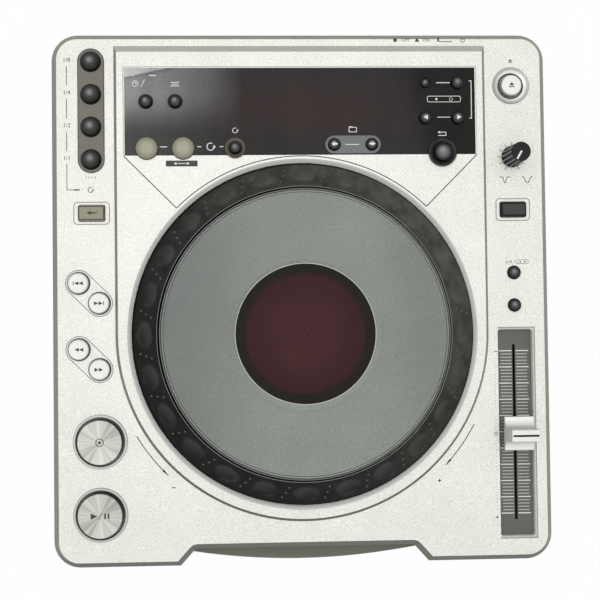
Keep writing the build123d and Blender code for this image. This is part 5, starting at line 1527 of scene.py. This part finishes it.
class DISCPLAYER_OT_tempo(Dressing):
    """Finish the tempo fader, its scale and the two buttons over it"""

    bl_idname = "disc_player.tempo"
    bl_label = "Tempo fader"

    def dress(self):
        paint(moulded("fader_floor", "fader_grey", 0.45, 0.5), "fader_panel")
        paint(moulded("fader_case", "jack_black", 0.5, 0.6), "fader_body")
        cap = Finish("cap_silver", "ring_silver", 0.36, 0.25)
        cap.colour = [0.83, 0.84, 0.81, 1.0]
        cap.vary(cap.noise(0.4, 2), 0.96, 1.04)
        # painted shade on the cap's steep faces
        cap.shade(cap.steep(0.45, 0.97), 0.62)
        cap.relief(cap.noise(0.4, 2), 0.006)
        self.make_cap(cap.done())
        for name, place, radius in (
            ("tempo_range_button", RANGE_BUTTON, 3.9),
            ("tempo_lock_button", LOCK_BUTTON, 3.8),
        ):
            paint(domed_plastic(f"{name}_cap", "button_black", *place, radius, 0.12), name)
        self.make_scale()
        self.make_side_marks()
        self.make_rim()
        x, y = FADER
        white = moulded("cap_bar_white", "button_white", 0.35, 0.4)
        for name, shape, tone, height in (
            ("cap_bar", bar(x, y, 16.2, 6.6), white, 0.05),
            ("cap_line", bar(x + 0.3, y, 15.6, 1.15), gap_shade_and_line_black(), 0.1),
        ):
            marks(name, [shape], CAP_TOP, "fader_cap", tone, height)

    def make_cap(self, material):
        """The fader's cap: a skirt held over the recess that sweeps up to a tall bar, on its stem."""
        skirt, bar_low, half_bar, sweep, steps = 4.6, 10.5, 3.6, 5.4, 12
        half_length, taper, chamfer = 8.8, 0.043, 0.3
        stem = ((2.0, 3.3), (-2.0, 3.3), (-2.0, -10.0), (2.0, -10.0))
        side = [(10.1, 3.1), (10.1, 4.5)]
        for step in range(steps + 1):
            turn = math.pi / 2 * step / steps
            height = skirt + (bar_low - skirt) * (1 - math.cos(turn))
            side.append((half_bar + sweep * (1 - math.sin(turn)), height))
        side += [(half_bar, CAP_TOP - 0.35), (half_bar - chamfer, CAP_TOP)]
        outline = side + [(-back, height) for back, height in reversed(side)]
        x, y = FADER
        work = bmesh.new()

        def cap_reach(height):
            return half_length - taper * (height - skirt) - (chamfer if height == CAP_TOP else 0.0)

        def stem_reach(height):
            return 0.5

        for shape, reach in ((outline, cap_reach), (stem, stem_reach)):
            ends = [
                [deck_point(x + end * reach(height), y + back, height) for back, height in shape]
                for end in (-1, 1)
            ]
            prism(work, [[work.verts.new(point) for point in end] for end in ends])
        bmesh.ops.triangulate(work, faces=[face for face in work.faces if len(face.verts) > 4])
        mesh = end_mesh(work, "cap_grip")
        piece = keep(mesh, "cap_grip", "fader_cap", material, None, 30)
        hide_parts("fader_cap")

    def make_rim(self):
        """A narrow step along the back, the right and the front of the recess."""
        x, y = FADER
        left = x - 10.8
        for name, reach, width, colour in (
            ("fader_step", 11.3, 0.7, "ring_silver"),
            ("fader_edge", 12.0, 0.5, "platter_grey"),
        ):
            right, depth = x + reach, reach + 52.5
            path = ((left, y + depth), (right, y + depth), (right, y - depth), (left, y - depth))
            plate_marks(name, [stroke(path, width)], moulded(f"{name}_grey", colour, 0.45, 0.4), FLUSH)

    def make_scale(self):
        """Lines across the recess: long ones at each fifth step, cut at the slot."""
        x, y = FADER
        pitch = sizes().scale_pitch / MM
        slot = 1.4
        pale = moulded("scale_grey", "ring_silver", 0.5, 0.4)
        for name, reach, width, wanted, tone in (
            ("scale_long", 9.2, 0.6, True, light_print()),
            ("scale_short", 8.3, 0.5, False, pale),
        ):
            lines = [
                bar(x + side * (reach + slot) / 2, y + step * pitch, reach - slot, width)
                for step in range(-25, 26)
                for side in (-1, 1)
                if (step % 5 == 0) is wanted
            ]
            marks(name, lines, "fader_panel", "case", tone)

    def make_side_marks(self):
        """Dots and signs beside the recess, and the sign over the range button."""
        thin = sizes().fine_line / MM
        x, y = 117.8, 20.6
        shapes = [
            bar(x + 0.5, -34.5, 2.2, thin),
            ring(x, -85.0, 1.1, 0.75, 24),
            *plus_sign(x - 0.2, -135.9, 1.9, thin),
            lettering("±10", 127.6, y, 1.9),
            bar(131.2, y, 2.2, 0.25, 65),
            rounded_frame(136.0, y, 7.4, 2.6, 0.6, 0.25),
            arrow(134.4, y, 1.3, 1.3, -1),
            arrow(137.6, y, 1.3, 1.3, 1),
        ]
        for left, back in ((x, -38.8), (x - 0.1, -89.0)):
            shapes += [disc(left, back - 2.0 * step, 0.2, 8) for step in range(22)]
        plate_marks("fader_marks", shapes)


class DISCPLAYER_OT_rear(Dressing):
    """Finish the sockets, the mains inlet and the power button"""

    bl_idname = "disc_player.rear"
    bl_label = "Rear sockets"

    def dress(self):
        paint(moulded("jack_plastic", "jack_black", 0.35, 0.5), "jack_block", "mains_inlet")
        paint(moulded("power_cap", "case_charcoal", 0.35, 0.5), "power_button")
        self.make_sleeves()

    def make_sleeves(self):
        """Plated sleeves of the phono jacks, each with a coloured ring on its flange."""
        plated = sheet_metal("jack_plating", "zinc_steel")
        back, height = 0.15568, 0.046
        sleeve = ((2.2, 3.4), (4.22, 3.4), (4.22, 15.6), (3.9, 16.0), (2.6, 16.0), (2.2, 15.6))
        flange_ring = ((4.4, 2.9), (5.9, 2.9), (5.9, 3.25), (4.4, 3.25))
        for name, x, colour in (
            ("right", -66.0, "jack_red"),
            ("left", -46.0, "button_white"),
            ("digital", -118.0, "jack_orange"),
        ):
            axes = Matrix(((-1, 0, 0, x * MM), (0, 0, 1, back), (0, 1, 0, height), (0, 0, 0, 1)))
            tinted = moulded(f"jack_ring_{name}", colour, 0.4, 0.5)
            turned_piece(f"jack_sleeve_{name}", sleeve, axes, "case", plated, 48)
            turned_piece(f"jack_ring_{name}", flange_ring, axes, "case", tinted, 48)


class DISCPLAYER_OT_drive(Dressing):
    """Finish the disc drive and the circuit boards"""

    bl_idname = "disc_player.drive"
    bl_label = "Disc drive"

    def dress(self):
        steel = sheet_metal("drive_steel", "zinc_steel")
        black = moulded("drive_black", "jack_black", 0.4, 0.6)
        rubber = moulded("roller_rubber", "button_black", 0.75, 0.8)
        paint(circuit_board(), "circuit_boards")
        paint(steel, "drive_chassis", "clamp_arm")
        paint(black, "disc_turntable", "pickup_sled", "clamper")
        paint(rubber, "loading_roller")


OPERATORS = (
    DISCPLAYER_OT_studio,
    DISCPLAYER_OT_housing,
    DISCPLAYER_OT_display,
    DISCPLAYER_OT_jog,
    DISCPLAYER_OT_loop_buttons,
    DISCPLAYER_OT_search_buttons,
    DISCPLAYER_OT_transport,
    DISCPLAYER_OT_keys,
    DISCPLAYER_OT_window_buttons,
    DISCPLAYER_OT_eject,
    DISCPLAYER_OT_speed_knob,
    DISCPLAYER_OT_tempo,
    DISCPLAYER_OT_rear,
    DISCPLAYER_OT_drive,
)


class DISCPLAYER_PT_panel(bpy.types.Panel):
    """Lists the steps that dress the player, and what may be changed"""

    bl_idname = "DISCPLAYER_PT_panel"
    bl_label = "Disc Player"
    bl_space_type = "VIEW_3D"
    bl_region_type = "UI"
    bl_category = "Disc Player"

    def draw(self, context):
        for operator in OPERATORS:
            self.layout.operator(operator.bl_idname)
        for group, kind in GROUPS.items():
            box = self.layout.box()
            for name in kind.__annotations__:
                box.prop(getattr(context.scene, group), name)


def register():
    for group, kind in GROUPS.items():
        bpy.utils.register_class(kind)
        setattr(bpy.types.Scene, group, PointerProperty(type=kind))
    for operator in OPERATORS:
        bpy.utils.register_class(operator)
    bpy.utils.register_class(DISCPLAYER_PT_panel)


def unregister():
    bpy.utils.unregister_class(DISCPLAYER_PT_panel)
    for operator in reversed(OPERATORS):
        bpy.utils.unregister_class(operator)
    for group, kind in reversed(GROUPS.items()):
        delattr(bpy.types.Scene, group)
        bpy.utils.unregister_class(kind)


def main():
    register()
    for operator in OPERATORS:
        group, name = operator.bl_idname.split(".")
        getattr(getattr(bpy.ops, group), name)()


if __name__ == "__main__":
    main()
